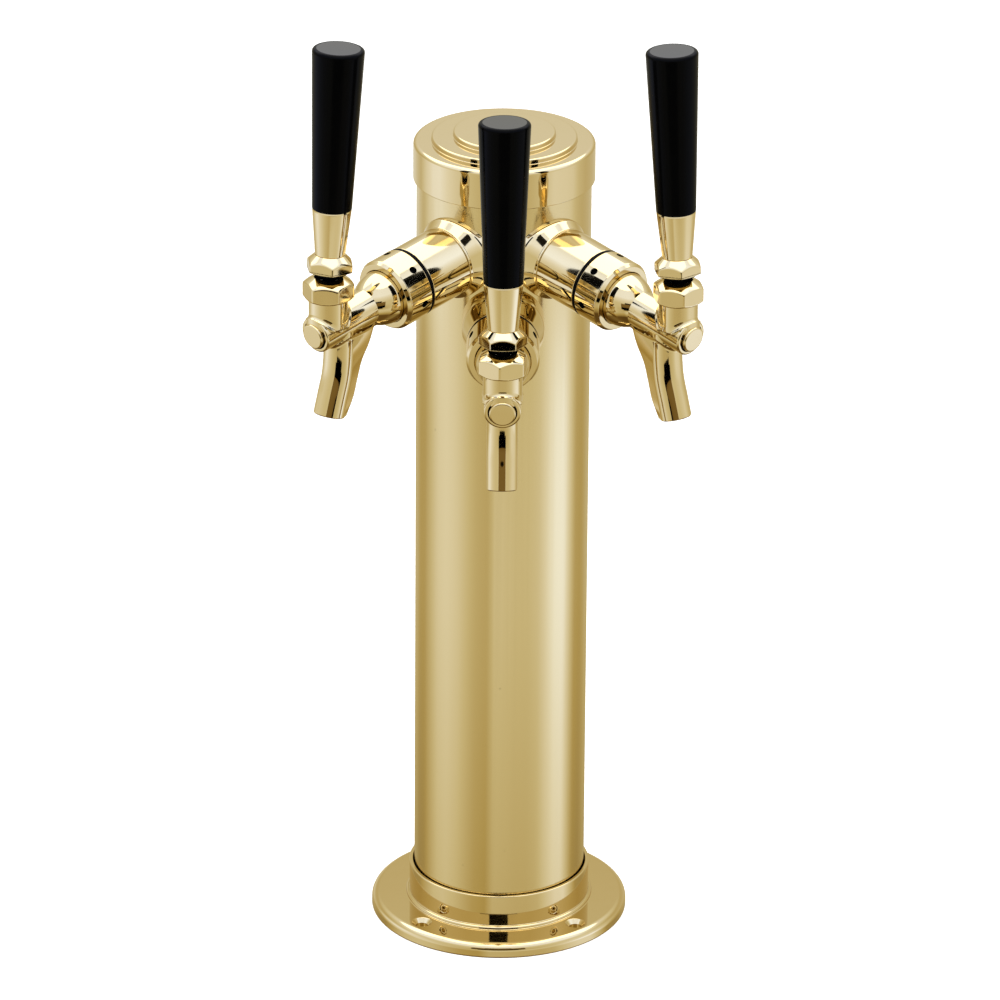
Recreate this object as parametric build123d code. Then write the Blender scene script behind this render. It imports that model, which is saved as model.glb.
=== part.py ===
from build123d import *
import os
from math import cos, radians, sin, sqrt, tan

# A three-tap draft column. Millimetres, +Z up, the front is -Y, +X is to the right of someone facing it.
# The origin is the centre of the base flange's underside.

# Column, cap and base
column_radius = 38.1
column_wall = 1.5
column_top = 366.5
cap_skirt_bottom = 351.0
cap_skirt_wall = 1.45
cap_rim_top = 368.3
cap_step_height = 2.2
cap_step_radii = (31.6, 22.2)
cap_wall = 1.6
cap_edge_round = 2.2
slip_gap = 0.05

flange_radius = 57.15
flange_thick = 6.5
flange_edge_round = 3.2
base_opening_radius = 30.0
socket_floor = 4.0
hub_gap = 0.6
hub_wall = 1.6
hub_top = 22.3
hub_bead = 1.4
mount_circle_radius = 48.5
mount_hole_radius = 2.75
mount_sink_radius = 4.5
mount_hole_angles = (45, 135, 225, 315)
set_screw_radius = 2.0
set_screw_level = 12.0
set_screw_angles = (38, -38, 142, -142)
set_screw_socket = 2.0

# Arms. An arm's station is counted along its axis from the coupling nut's front face, outwards.
arm_tilt = 9.0
side_azimuth = 45.0
side_cross = 8.0
side_reach = 72.6
side_level = 318.8
front_reach = 66.8
front_level = 291.9

# Coupling nut, its seals and the shank
nut_length = 14.0
nut_radius = 15.875
nut_face_radius = 14.8
nut_lip = 3.0
nut_mouth_radius = 12.2
thread_radius = 13.85
spanner_hole_radius = 1.7
spanner_hole_count = 6
spanner_hole_station = -9.3
tail_flange_radius = 13.5
tail_flange_back = -7.0
washer_thick = 1.3
gasket_thick = 1.2
gasket_radius = 15.45
shank_radius = 11.1
shank_bore_radius = 3.97
shank_mouth_radius = 7.0
shank_mouth_depth = 4.2
hole_clearance = 0.2
sleeve_radius = 15.6
side_saddle_length = 3.7
saddle_flare = 1.6
saddle_flare_length = 9.0
backing_radius = 14.5
hex_nut_across = 25.4
hex_nut_length = 6.0
shank_tail = 4.4
side_backing_thick = 7.6
front_backing_thick = 5.3

# Elbow tail for the beer line
tail_radius = 3.4
tail_bore_radius = 2.6
tail_flange = 1.5
tail_bend = 3.7
tail_run = 4.4
tail_leg = 21.0
barb_radius = 4.0
barb_pitch = 3.5
barb_count = 3

# Faucet body
chamber_radius = 8.0
chamber_bore = 5.0
chamber_front = 41.4
dome_radius = 12.0
dome_length = 11.0
seat_station = 3.5
seat_thick = 3.5
seat_bore = 4.2
tail_bore = 6.6
neck_station = 33.2
neck_radius = 8.5
neck_bore = 6.0
neck_top = 17.8
neck_shoulder = 11.5
ball_bore = 6.9
neck_thread_radius = 8.35
spout_radius = 6.75
spout_bore = 4.7
spout_bore_depth = 30.0
spout_feed = 4.0
spout_lean = 25.3
spout_upper_lean = 12.0
spout_bend = 20.35
spout_tip_station = 39.5
spout_tip_drop = 40.0
spout_web_radius = 3.2
# One line per section: its distance up the spout, the reach of the web's edge behind the spout, its slant.
spout_sections = ((0.0, 6.2, 25.3), (8.85, 8.2, 25.3), (17.7, 8.4, 25.3), (24.55, 9.8, 20.8),
                  (31.7, 13.7, 18.2), (40.2, 17.7, 4.2))

# Lever, its bearings and its bonnet. Heights are along the neck axis from the chamber axis.
pivot_height = 16.0
rest_lean = 3.2
ball_radius = 6.0
bearing_gap = 0.05
lower_ring_bore = 4.6
upper_ring_bore = 4.9
ring_step = 2.0
ring_slack = 0.1
arm_radius = 1.8
tip_radius = 2.9
stem_radius = 2.6
stud_radius = 4.7
bonnet_bottom = 13.9
bonnet_top = 23.8
bonnet_roof = 20.7
bonnet_across = 19.6
bonnet_hole = 6.0
bonnet_slope = 33.0
bonnet_turns = {"left": 38.7, "front": 22.7, "right": -2.5}
collar_washer_bottom = 9.6
collar_washer_thick = 1.0
collar_washer_radius = 7.7
collar_across = 18.5
collar_length = 7.2
collar_cone = 3.8
collar_cone_radius = 6.7
collar_turns = {"left": 23.2, "front": 0.0, "right": -6.0}
ferrule_length = 20.5
ferrule_radii = (6.5, 8.45)
ferrule_spigot = 4.0
ferrule_spigot_length = 11.5
stud_reach = 14.0
knob_length = 71.4
knob_radii = (8.55, 11.3)

# Valve
block_length = 8.0
slot_radius = 3.2
rod_radius = 2.4
rod_shoulder_radius = 3.2
seat_washer_radius = 6.0
seat_washer_thick = 2.6
seat_gap = 0.05
rod_nut_across = 7.0
rod_nut_length = 2.8
plug_radius = 5.7
plug_head = 1.8
plug_chamfer = 0.8
plug_groove = 0.6
plug_groove_depth = 1.0
plug_gap = 0.4

# Worked out from the above
column_inner = column_radius - column_wall
cap_skirt_radius = column_radius + slip_gap + cap_skirt_wall
neck_back = arm_tilt
pivot_station = neck_station - pivot_height * sin(radians(neck_back))
pivot_level = pivot_height * cos(radians(neck_back))
lever_back = neck_back + rest_lean
lever_arm = pivot_level / cos(radians(lever_back))
tip_station = pivot_station + pivot_level * tan(radians(lever_back))
collar_bottom = collar_washer_bottom + collar_washer_thick
collar_top = collar_bottom + collar_length
ferrule_top = collar_top + ferrule_length
knob_top = ferrule_top + knob_length
shank_front = tail_flange_back - washer_thick
shank_shoulder = -nut_length - gasket_thick



def column_station(azimuth, cross, reach, radius):
    """The station where an arm's axis meets a round of this radius about the column's axis."""
    turn = radians(azimuth)
    run = sqrt(radius ** 2 - (cross * sin(turn)) ** 2) - cross * cos(turn)
    return (run - reach) / cos(radians(arm_tilt))


def arm_sizes(azimuth, cross, reach, level, backing_thick, saddle_length=None):
    """An arm's places. With no saddle length its saddle runs all the way to the gasket, with no sleeve."""
    outside = column_station(azimuth, cross, reach, column_radius)
    inside = column_station(azimuth, cross, reach, column_inner)
    saddle_front = outside + saddle_length if saddle_length else shank_shoulder
    return {"azimuth": azimuth, "cross": cross, "reach": reach, "level": level, "saddle_front": saddle_front,
            "has_sleeve": saddle_length is not None, "backing": inside - backing_thick, "inside": inside}


ARMS = {
    "left": arm_sizes(-side_azimuth, side_cross, side_reach, side_level, side_backing_thick, side_saddle_length),
    "front": arm_sizes(0, 0, front_reach, front_level, front_backing_thick),
    "right": arm_sizes(side_azimuth, side_cross, side_reach, side_level, side_backing_thick, side_saddle_length),
}


def outline(corners):
    """A closed flat outline. A corner is (across, along), and a third number rounds it."""
    places = [corner[:2] for corner in corners]
    rounds = [corner[2] if len(corner) > 2 else 0 for corner in corners]
    return make_face(FilletPolyline(*places, radius=rounds, close=True))


def turned(corners, axis=Axis.Z):
    """An outline turned about an axis. Corners are (radius, height) about Z, (station, radius) about X."""
    return revolve(Plane.XZ * outline(corners), axis)


def rod(radius, low, high):
    """A plain cylinder about Z between two heights."""
    return Pos(0, 0, low) * Cylinder(radius, high - low, align=(Align.CENTER, Align.CENTER, Align.MIN))


def bar(radius, low, high):
    """A plain cylinder about X between two stations."""
    return Rot(0, 90, 0) * rod(radius, low, high)


def hexagon(across, low, high):
    """A six-sided bar about Z, a flat facing +X."""
    flat = RegularPolygon(across / 2, 6, major_radius=False)
    return extrude(Pos(0, 0, low) * Rot(0, 0, 30) * flat, high - low)


def arm_frame(arm):
    """The arm's own frame: X outwards along the arm, Z square to it and up, origin at the nut's face."""
    turn, tilt = radians(arm["azimuth"]), radians(arm_tilt)
    ahead = Vector(sin(turn), -cos(turn), 0)
    start = Vector(0, -arm["cross"], arm["level"]) + ahead * arm["reach"]
    along = ahead * cos(tilt) - Vector(0, 0, sin(tilt))
    across = ahead * sin(tilt) + Vector(0, 0, cos(tilt))
    return Location(Plane(origin=start, x_dir=along, z_dir=across))


def leaning(station, level, back):
    """A frame inside an arm's frame whose Z leans back towards the column by an angle."""
    lean = radians(back)
    return Location(Plane(origin=(station, 0, level), x_dir=(cos(lean), 0, sin(lean)),
                          z_dir=(-sin(lean), 0, cos(lean))))


# ---- column, cap and base ----


def make_column_tube(places):
    tube = turned([(column_inner, socket_floor), (column_radius, socket_floor),
                   (column_radius, column_top), (column_inner, column_top)])
    for name, arm in ARMS.items():
        tube -= places[name] * bar(shank_radius + hole_clearance, -arm["reach"], 0)
    return tube


def make_cap():
    outer, inner = cap_step_radii
    first, second = cap_rim_top + cap_step_height, cap_rim_top + 2 * cap_step_height
    bore = column_radius + slip_gap
    edge = cap_step_height / 3
    return turned([
        (bore, cap_skirt_bottom), (cap_skirt_radius, cap_skirt_bottom, 0.4),
        (cap_skirt_radius, cap_rim_top, cap_edge_round), (outer, cap_rim_top, edge), (outer, first, edge),
        (inner, first, edge), (inner, second, edge), (0, second),
        (0, second - cap_wall), (inner - cap_wall, second - cap_wall), (inner - cap_wall, first - cap_wall),
        (outer - cap_wall, first - cap_wall), (outer - cap_wall, cap_rim_top - cap_wall),
        (bore, cap_rim_top - cap_wall),
    ])


def make_base_flange():
    bore = column_radius + hub_gap
    hub = bore + hub_wall
    flange = turned([
        (base_opening_radius, 0), (flange_radius, 0, 0.8), (flange_radius, flange_thick, flange_edge_round),
        (hub + hub_bead, flange_thick), (hub + hub_bead, flange_thick + hub_bead, hub_bead * 0.9),
        (hub, flange_thick + hub_bead), (hub, hub_top, 0.5), (bore, hub_top, 0.5), (bore, socket_floor),
        (base_opening_radius, socket_floor),
    ])
    hole = rod(mount_hole_radius, -1, flange_thick + 1)
    sink = turned([(0, flange_thick), (mount_sink_radius + 0.5, flange_thick + 0.5),
                   (mount_hole_radius, flange_thick - mount_sink_radius + mount_hole_radius),
                   (0, flange_thick - mount_sink_radius + mount_hole_radius)])
    for angle in mount_hole_angles:
        flange -= Rot(0, 0, angle) * Pos(mount_circle_radius, 0, 0) * (hole + sink)
    for angle in set_screw_angles:
        thread = bar(set_screw_radius, column_radius - 1, hub + 1)
        flange -= Pos(0, 0, set_screw_level) * Rot(0, 0, angle - 90) * thread
    return flange


def make_set_screws():
    tip, head = column_radius, column_radius + hub_gap + hub_wall
    screw = bar(set_screw_radius, tip, head)
    socket = Pos(head, 0, 0) * Rot(0, 90, 0) * hexagon(set_screw_socket, -hub_wall / 2, 1)
    screw -= socket
    return Compound([Pos(0, 0, set_screw_level) * Rot(0, 0, angle - 90) * screw
                     for angle in set_screw_angles])


# ---- arm: saddle, sleeve, shank and what clamps them ----


def make_saddle(arm, place):
    """A flared collar, hollowed to the column's round on its inner side."""
    front = arm["saddle_front"]
    root = -arm["reach"] + column_inner / 2
    wide = sleeve_radius + saddle_flare
    flare = front - saddle_flare_length
    collar = turned([
        (root, shank_radius + hole_clearance), (front, shank_radius + hole_clearance),
        (front, sleeve_radius, 0.5), (front - 1.5, sleeve_radius), (flare, wide), (root, wide),
    ], Axis.X)
    cutter = place.inverse() * rod(column_radius + slip_gap, -50, column_top + 50)
    pieces = (collar - cutter).solids()
    return max(pieces, key=lambda piece: piece.center().X)


def make_sleeve(arm):
    back, front = arm["saddle_front"], shank_shoulder
    return turned([
        (back, shank_radius + hole_clearance), (front, shank_radius + hole_clearance),
        (front, sleeve_radius, 0.4), (back, sleeve_radius, 0.6),
    ], Axis.X)


def make_shank(arm):
    inner = arm["backing"] - hex_nut_length - shank_tail
    return turned([
        (inner, shank_bore_radius), (inner, shank_radius, 0.6), (shank_shoulder, shank_radius),
        (shank_shoulder, thread_radius), (shank_front, thread_radius, 0.5),
        (shank_front, shank_mouth_radius), (shank_front - shank_mouth_depth, shank_bore_radius),
    ], Axis.X)


def make_gasket():
    return turned([(shank_shoulder, thread_radius + slip_gap), (-nut_length, thread_radius + slip_gap),
                   (-nut_length, gasket_radius), (shank_shoulder, gasket_radius)], Axis.X)


def make_coupling_washer():
    return turned([(shank_front, shank_mouth_radius), (tail_flange_back, shank_mouth_radius),
                   (tail_flange_back, tail_flange_radius), (shank_front, tail_flange_radius)], Axis.X)


def make_coupling_nut():
    bore = thread_radius + slip_gap
    nut = turned([
        (-nut_length, bore), (-nut_lip, bore), (-nut_lip, nut_mouth_radius), (0, nut_mouth_radius),
        (0, nut_face_radius, 0.3), (-1.6, nut_radius, 1.2), (-nut_length, nut_radius, 0.4),
    ], Axis.X)
    for index in range(spanner_hole_count):
        angle = index * 360 / spanner_hole_count
        hole = Pos(spanner_hole_station, 0, 0) * Rot(angle, 0, 0) * rod(spanner_hole_radius, 5, 20)
        nut -= hole
    return nut


def make_backing_washer(arm, place):
    """A washer, flat for the nut and rounded to the column's inner wall."""
    beyond = arm["inside"] + backing_radius / 2
    ring = turned([
        (arm["backing"], shank_radius + hole_clearance), (beyond, shank_radius + hole_clearance),
        (beyond, backing_radius), (arm["backing"], backing_radius),
    ], Axis.X)
    return ring & (place.inverse() * rod(column_inner - slip_gap, 0, column_top))


def make_hex_nut(arm):
    nut = Rot(0, 90, 0) * hexagon(hex_nut_across, arm["backing"] - hex_nut_length, arm["backing"])
    return nut - bar(shank_radius + slip_gap, arm["backing"] - hex_nut_length - 1, arm["backing"] + 1)


def make_tailpiece(arm):
    """A flanged elbow with three barbs, turned down for the beer line."""
    face = arm["backing"] - hex_nut_length - shank_tail
    tilt = radians(arm_tilt)
    down = Vector(sin(tilt), 0, -cos(tilt))
    mouth, start = Vector(face + shank_tail + 1, 0, 0), Vector(face - tail_flange / 2, 0, 0)
    corner = Vector(face - tail_flange - tail_run, 0, 0)
    end = corner + down * tail_leg
    inwards = Plane(origin=start, z_dir=(-1, 0, 0))
    piece = sweep(inwards * Circle(tail_radius), FilletPolyline(start, corner, end, radius=tail_bend))
    piece += bar(shank_mouth_radius, face - tail_flange, face)
    piece += bar(shank_bore_radius - slip_gap, face - tail_flange / 2, face + shank_tail)
    leg = Location(Plane(origin=end, x_dir=(0, 1, 0), z_dir=down * -1))
    barb = turned([(0, 0.2), (tail_radius, 0.2), (barb_radius, barb_pitch * 0.7),
                   (barb_radius, barb_pitch * 0.8), (0, barb_pitch * 0.8)])
    for index in range(barb_count):
        piece += leg * Pos(0, 0, index * barb_pitch) * barb
    way = FilletPolyline(mouth, corner, end + down, radius=tail_bend)
    return piece - sweep(Plane(origin=mouth, z_dir=(-1, 0, 0)) * Circle(tail_bore_radius), way)


# ---- faucet body ----


def make_chamber():
    """The horizontal barrel, with the domed flange that the coupling nut pulls on."""
    bulge = (dome_length ** 2 + (dome_radius - chamber_radius) ** 2) / (2 * (dome_radius - chamber_radius))
    middle = dome_length / 2
    edge = chamber_front - 1.0
    rise = dome_radius - bulge + sqrt(bulge ** 2 - middle ** 2)
    lines = Curve() + [
        Polyline((dome_length, chamber_radius), (edge, chamber_radius), (chamber_front, chamber_radius - 1.0),
                 (chamber_front, 0), (tail_flange_back, 0), (tail_flange_back, tail_flange_radius),
                 (-nut_lip - 0.1, tail_flange_radius), (-nut_lip - 0.1, dome_radius), (0, dome_radius)),
        ThreePointArc((0, dome_radius), (middle, rise), (dome_length, chamber_radius)),
    ]
    return revolve(Plane.XZ * make_face(lines), Axis.X)


def spout_section(reach):
    """A round spout with its web behind it, joined by the two lines that touch both rounds."""
    wide, thin = spout_radius, spout_web_radius
    share = (wide - thin) / reach
    rise = sqrt(1 - share ** 2)
    front, back = (wide * share, wide * rise), (reach + thin * share, thin * rise)
    lines = Curve() + [
        ThreePointArc(front, (-wide, 0), (front[0], -front[1])),
        Line((front[0], -front[1]), (back[0], -back[1])),
        ThreePointArc((back[0], -back[1]), (reach + thin, 0), back),
        Line(back, front),
    ]
    return make_face(lines)


def make_spout():
    """The spout with its rear web, straight at the tip and steeper above its bend."""
    low, high = radians(spout_lean), radians(spout_upper_lean)
    sections = []
    for up, reach, slant in spout_sections:
        straight = min(up, spout_bend)
        centre = Vector(spout_tip_station, 0, -spout_tip_drop)
        centre += Vector(-sin(low), 0, cos(low)) * straight
        centre += Vector(-sin(high), 0, cos(high)) * (up - straight)
        turn = radians(slant)
        plane = Plane(origin=centre, x_dir=(-cos(turn), 0, -sin(turn)), z_dir=(-sin(turn), 0, cos(turn)))
        sections.append(plane * spout_section(reach))
    return loft(sections)


def spout_axis():
    """The spout's bore: its frame stands at the tip, Z inwards."""
    lean = radians(spout_lean)
    return Location(Plane(origin=(spout_tip_station, 0, -spout_tip_drop), x_dir=(cos(lean), 0, sin(lean)),
                          z_dir=(-sin(lean), 0, cos(lean))))


def make_faucet_body():
    neck = leaning(neck_station, 0, neck_back)
    body = make_chamber() + make_spout()
    body += neck * turned([
        (0, -3), (chamber_radius - 0.9, -3), (neck_radius, 4), (neck_radius, bonnet_bottom),
        (neck_thread_radius, bonnet_bottom), (neck_thread_radius, neck_top), (0, neck_top),
    ])
    body -= turned([
        (tail_flange_back - 1, 0), (tail_flange_back - 1, tail_bore), (seat_station, tail_bore),
        (seat_station, seat_bore), (seat_station + seat_thick, seat_bore),
        (seat_station + seat_thick + 1, chamber_bore), (chamber_front + 1, chamber_bore),
        (chamber_front + 1, 0),
    ], Axis.X)
    body -= neck * turned([(0, 0), (neck_bore, 0), (neck_bore, neck_shoulder), (ball_bore, neck_shoulder),
                           (ball_bore, neck_top + 1), (0, neck_top + 1)])
    floor = chamber_front - plug_groove_depth
    body -= bar(plug_radius + plug_groove, floor, chamber_front + 1) - bar(plug_radius, floor, chamber_front + 1)
    reach = spout_tip_drop / cos(radians(spout_lean))
    body -= spout_axis() * rod(spout_bore, -1, spout_bore_depth)
    body -= spout_axis() * rod(spout_feed, spout_bore_depth - 1, reach)
    return body


def make_end_plug():
    return turned([
        (tip_station + block_length / 2 + plug_gap, 0),
        (tip_station + block_length / 2 + plug_gap, chamber_bore), (chamber_front, chamber_bore),
        (chamber_front, plug_radius), (chamber_front + plug_head - plug_chamfer, plug_radius),
        (chamber_front + plug_head, plug_radius - plug_chamfer), (chamber_front + plug_head, 0),
    ], Axis.X)


# ---- bonnet and lever bearings, about the neck's axis ----


def make_bonnet(turn):
    half = bonnet_across / sqrt(3)
    slope = tan(radians(bonnet_slope))
    start = bonnet_hole + 0.3
    form = turned([(0, bonnet_bottom), (bonnet_across / 2, bonnet_bottom), (half + 0.2, bonnet_bottom + 1.2),
                   (half + 0.2, bonnet_top - slope * (half + 0.2 - start)), (start, bonnet_top),
                   (0, bonnet_top)])
    hexagonal = Rot(0, 0, turn) * hexagon(bonnet_across, bonnet_bottom - 1, bonnet_top + 1)
    cavity = neck_thread_radius + slip_gap
    hollow = turned([(0, bonnet_bottom - 1), (cavity, bonnet_bottom - 1), (cavity, bonnet_roof),
                     (bonnet_hole - 0.7, bonnet_roof), (bonnet_hole, bonnet_top), (bonnet_hole, bonnet_top + 1),
                     (0, bonnet_top + 1)])
    return (form & hexagonal) - hollow


def bearing_ring(low, high, inner, outer):
    """A plastic ring with a round seat for the lever's ball."""
    ring = rod(outer, low, high) - rod(inner, low - 1, high + 1)
    return ring - Pos(0, 0, pivot_height) * Sphere(ball_radius + bearing_gap)


def make_ball_washer():
    return bearing_ring(neck_shoulder, pivot_height - ring_step, lower_ring_bore, ball_bore - slip_gap)


def make_friction_washer():
    return bearing_ring(neck_top, bonnet_roof - ring_slack, upper_ring_bore, neck_thread_radius - slip_gap)


# ---- lever and handle, about the lever's own axis from its pivot ----


def make_lever():
    body = Sphere(ball_radius) + rod(arm_radius, -lever_arm, -ball_radius + 1)
    body += Pos(0, 0, -lever_arm) * Sphere(tip_radius)
    body += rod(stem_radius, ball_radius - 1, collar_washer_bottom)
    return body + turned([(0, collar_washer_bottom), (stud_radius, collar_washer_bottom),
                          (stud_radius, collar_top + stud_reach, 0.8), (0, collar_top + stud_reach)])


def make_collar_washer():
    bore = stud_radius + slip_gap
    return turned([(bore, collar_washer_bottom), (collar_washer_radius, collar_washer_bottom),
                   (collar_washer_radius, collar_bottom), (bore, collar_bottom)])


def make_lever_collar(turn):
    corner = collar_across / sqrt(3) + 0.1
    form = turned([(0, collar_bottom), (collar_across / 2, collar_bottom), (corner, collar_bottom + 0.9),
                   (corner, collar_top - collar_cone), (collar_cone_radius, collar_top), (0, collar_top)])
    hexagonal = Rot(0, 0, turn) * hexagon(collar_across, collar_bottom - 1, collar_top + 1)
    return (form & hexagonal) - rod(stud_radius + slip_gap, collar_bottom - 1, collar_top + 1)


def make_ferrule():
    bottom, top = ferrule_radii
    bore = stud_radius + slip_gap
    roof = collar_top + stud_reach + 0.5
    return turned([
        (bore, collar_top), (bottom, collar_top, 0.3), (top, ferrule_top - 0.6, 0.4), (top - 0.2, ferrule_top),
        (ferrule_spigot, ferrule_top), (ferrule_spigot, ferrule_top + ferrule_spigot_length, 0.6),
        (0, ferrule_top + ferrule_spigot_length), (0, roof), (bore, roof),
    ])


def make_knob():
    bottom, top = knob_radii
    bore = ferrule_spigot + slip_gap
    deep = ferrule_top + ferrule_spigot_length + 0.5
    return turned([
        (bore, ferrule_top), (bottom, ferrule_top, 0.4), (top, knob_top, 0.9), (0, knob_top),
        (0, deep), (bore, deep),
    ])


# ---- valve, along the chamber's axis ----


def make_plunger():
    rear = seat_station - seat_gap - seat_washer_thick - rod_nut_length - 0.6
    face = seat_station - seat_gap
    back, front = tip_station - block_length / 2, tip_station + block_length / 2
    shaft = turned([
        (rear, 0), (rear, rod_radius, 0.4), (face, rod_radius), (face, rod_shoulder_radius),
        (face + seat_thick, rod_shoulder_radius, 0.5), (face + seat_thick + 1, rod_radius),
        (back, rod_radius), (back, chamber_bore - bearing_gap, 0.5), (front, chamber_bore - bearing_gap, 0.5),
        (front, 0),
    ], Axis.X)
    return shaft - Pos(tip_station, 0, 0) * rod(slot_radius, -chamber_bore - 1, chamber_bore + 1)


def make_seat_washer():
    face = seat_station - seat_gap
    return bar(seat_washer_radius, face - seat_washer_thick, face) - \
        bar(rod_radius, face - seat_washer_thick - 1, face + 1)


def make_plunger_nut():
    back = seat_station - seat_gap - seat_washer_thick
    nut = Rot(0, 90, 0) * hexagon(rod_nut_across, back - rod_nut_length, back)
    return nut - bar(rod_radius, back - rod_nut_length - 1, back + 1)


def main():
    places = {name: arm_frame(arm) for name, arm in ARMS.items()}
    neck = leaning(neck_station, 0, neck_back)
    lever = leaning(pivot_station, pivot_level, lever_back)
    nodes = {
        "column_tube": make_column_tube(places),
        "cap": make_cap(),
        "base_flange": make_base_flange(),
        "hub_set_screws": make_set_screws(),
    }
    shared = {
        "coupling_washers": make_coupling_washer(),
        "shank_gaskets": make_gasket(),
        "ball_washers": neck * make_ball_washer(),
        "friction_washers": neck * make_friction_washer(),
    }
    for name, piece in shared.items():
        nodes[name] = Compound([place * piece for place in places.values()])
    nodes["backing_washers"] = Compound([places[name] * make_backing_washer(arm, places[name])
                                         for name, arm in ARMS.items()])
    nodes["shank_hex_nuts"] = Compound([places[name] * make_hex_nut(arm) for name, arm in ARMS.items()])
    alike = {
        "coupling_nut": make_coupling_nut(),
        "faucet_body": make_faucet_body(),
        "end_plug": make_end_plug(),
        "lever": lever * make_lever(),
        "collar_washer": lever * make_collar_washer(),
        "ferrule": lever * make_ferrule(),
        "knob": lever * make_knob(),
        "plunger": make_plunger(),
        "seat_washer": make_seat_washer(),
        "plunger_nut": make_plunger_nut(),
    }
    for side, arm in ARMS.items():
        place = places[side]
        for name, piece in alike.items():
            nodes[f"{side}_{name}"] = place * piece
        nodes[f"{side}_bonnet"] = place * neck * make_bonnet(bonnet_turns[side])
        nodes[f"{side}_lever_collar"] = place * lever * make_lever_collar(collar_turns[side])
        nodes[f"{side}_shank"] = place * make_shank(arm)
        nodes[f"{side}_saddle"] = place * make_saddle(arm, place)
        nodes[f"{side}_tailpiece"] = place * make_tailpiece(arm)
        if arm["has_sleeve"]:
            nodes[f"{side}_sleeve"] = place * make_sleeve(arm)
    os.makedirs("parts", exist_ok=True)
    for name, shape in nodes.items():
        export_step(shape, f"parts/{name}.step")


main()
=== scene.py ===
from functools import partial

import bmesh
import bpy
import numpy as np
from bpy.props import FloatProperty, FloatVectorProperty, PointerProperty
from mathutils import Matrix, Vector


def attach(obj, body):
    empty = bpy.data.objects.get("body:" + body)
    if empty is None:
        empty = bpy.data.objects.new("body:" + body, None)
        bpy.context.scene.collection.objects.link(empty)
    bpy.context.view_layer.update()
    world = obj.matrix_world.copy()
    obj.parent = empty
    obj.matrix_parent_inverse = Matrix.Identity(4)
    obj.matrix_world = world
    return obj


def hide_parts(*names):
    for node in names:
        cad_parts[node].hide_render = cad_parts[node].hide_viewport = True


bl_info = {
    "name": "Draft beer tower",
    "version": (1, 0, 0),
    "blender": (4, 5, 0),
    "location": "View3D > Sidebar > Beer tower",
    "description": "Dresses a three-faucet draft column: polished brass, black handles and a light tent",
    "category": "Object",
}

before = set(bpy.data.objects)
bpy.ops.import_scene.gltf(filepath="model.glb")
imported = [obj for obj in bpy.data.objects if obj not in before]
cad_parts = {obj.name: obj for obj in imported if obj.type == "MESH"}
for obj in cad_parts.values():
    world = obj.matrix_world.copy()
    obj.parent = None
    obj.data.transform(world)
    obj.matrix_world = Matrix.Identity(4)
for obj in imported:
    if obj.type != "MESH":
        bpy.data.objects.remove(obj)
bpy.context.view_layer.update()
SIDES = ("left", "front", "right")
FULL_TURN = 2 * np.pi
CLEARANCE = 0.00005  # between a skin and the surface that it fits on
SEGMENTS = 360  # columns of a grid that goes once round the column, cap or base
MERGED = 1e-6  # points of neighbouring grids that are closer than this become one
SHARP, CRISP, BROKEN, SOFT = 0.0001, 0.0002, 0.0003, 0.0004  # rounds of edges, sharpest first
OVERRUN = 0.003  # how far a chamfer's profile runs on past the corners of the hexagon that cuts it
# turns from +X of the base's mounting holes and of the hub's set screws, which lie either side of the front
BOLT_TURNS = np.radians([45, 135, 225, 315])
SCREW_TURNS = np.radians([-90 + 38, -90 - 38, -90 + 142, -90 - 142])
# where the threads stop the hexagons on each arm, in degrees
BONNET_TURNS = {"left": 38.7, "front": 22.7, "right": -2.5}
COLLAR_TURNS = {"left": 23.2, "front": 0.0, "right": -6.0}


def linear(hex_colour):
    """sRGB hex to the linear red, green and blue that shaders take."""
    value = np.array([int(hex_colour[i:i + 2], 16) for i in (1, 3, 5)]) / 255
    return tuple(np.where(value <= 0.04045, value / 12.92, ((value + 0.055) / 1.055) ** 2.4))


def length(name, millimetres, description):
    """A length that a user can change, with its default in millimetres."""
    return FloatProperty(name=name, description=description, default=millimetres / 1000, unit="LENGTH",
                         precision=5)


def angle(name, degrees, description):
    """An angle that a user can change, with its default in degrees."""
    return FloatProperty(name=name, description=description, default=float(np.radians(degrees)),
                         unit="ROTATION")


def colour(name, hex_colour, description):
    """A colour that a user can change, with its default in sRGB hex."""
    return FloatVectorProperty(name=name, description=description, default=linear(hex_colour),
                               subtype="COLOR", min=0, max=1)


# ---- sizes and colours a user would change ----


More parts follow.
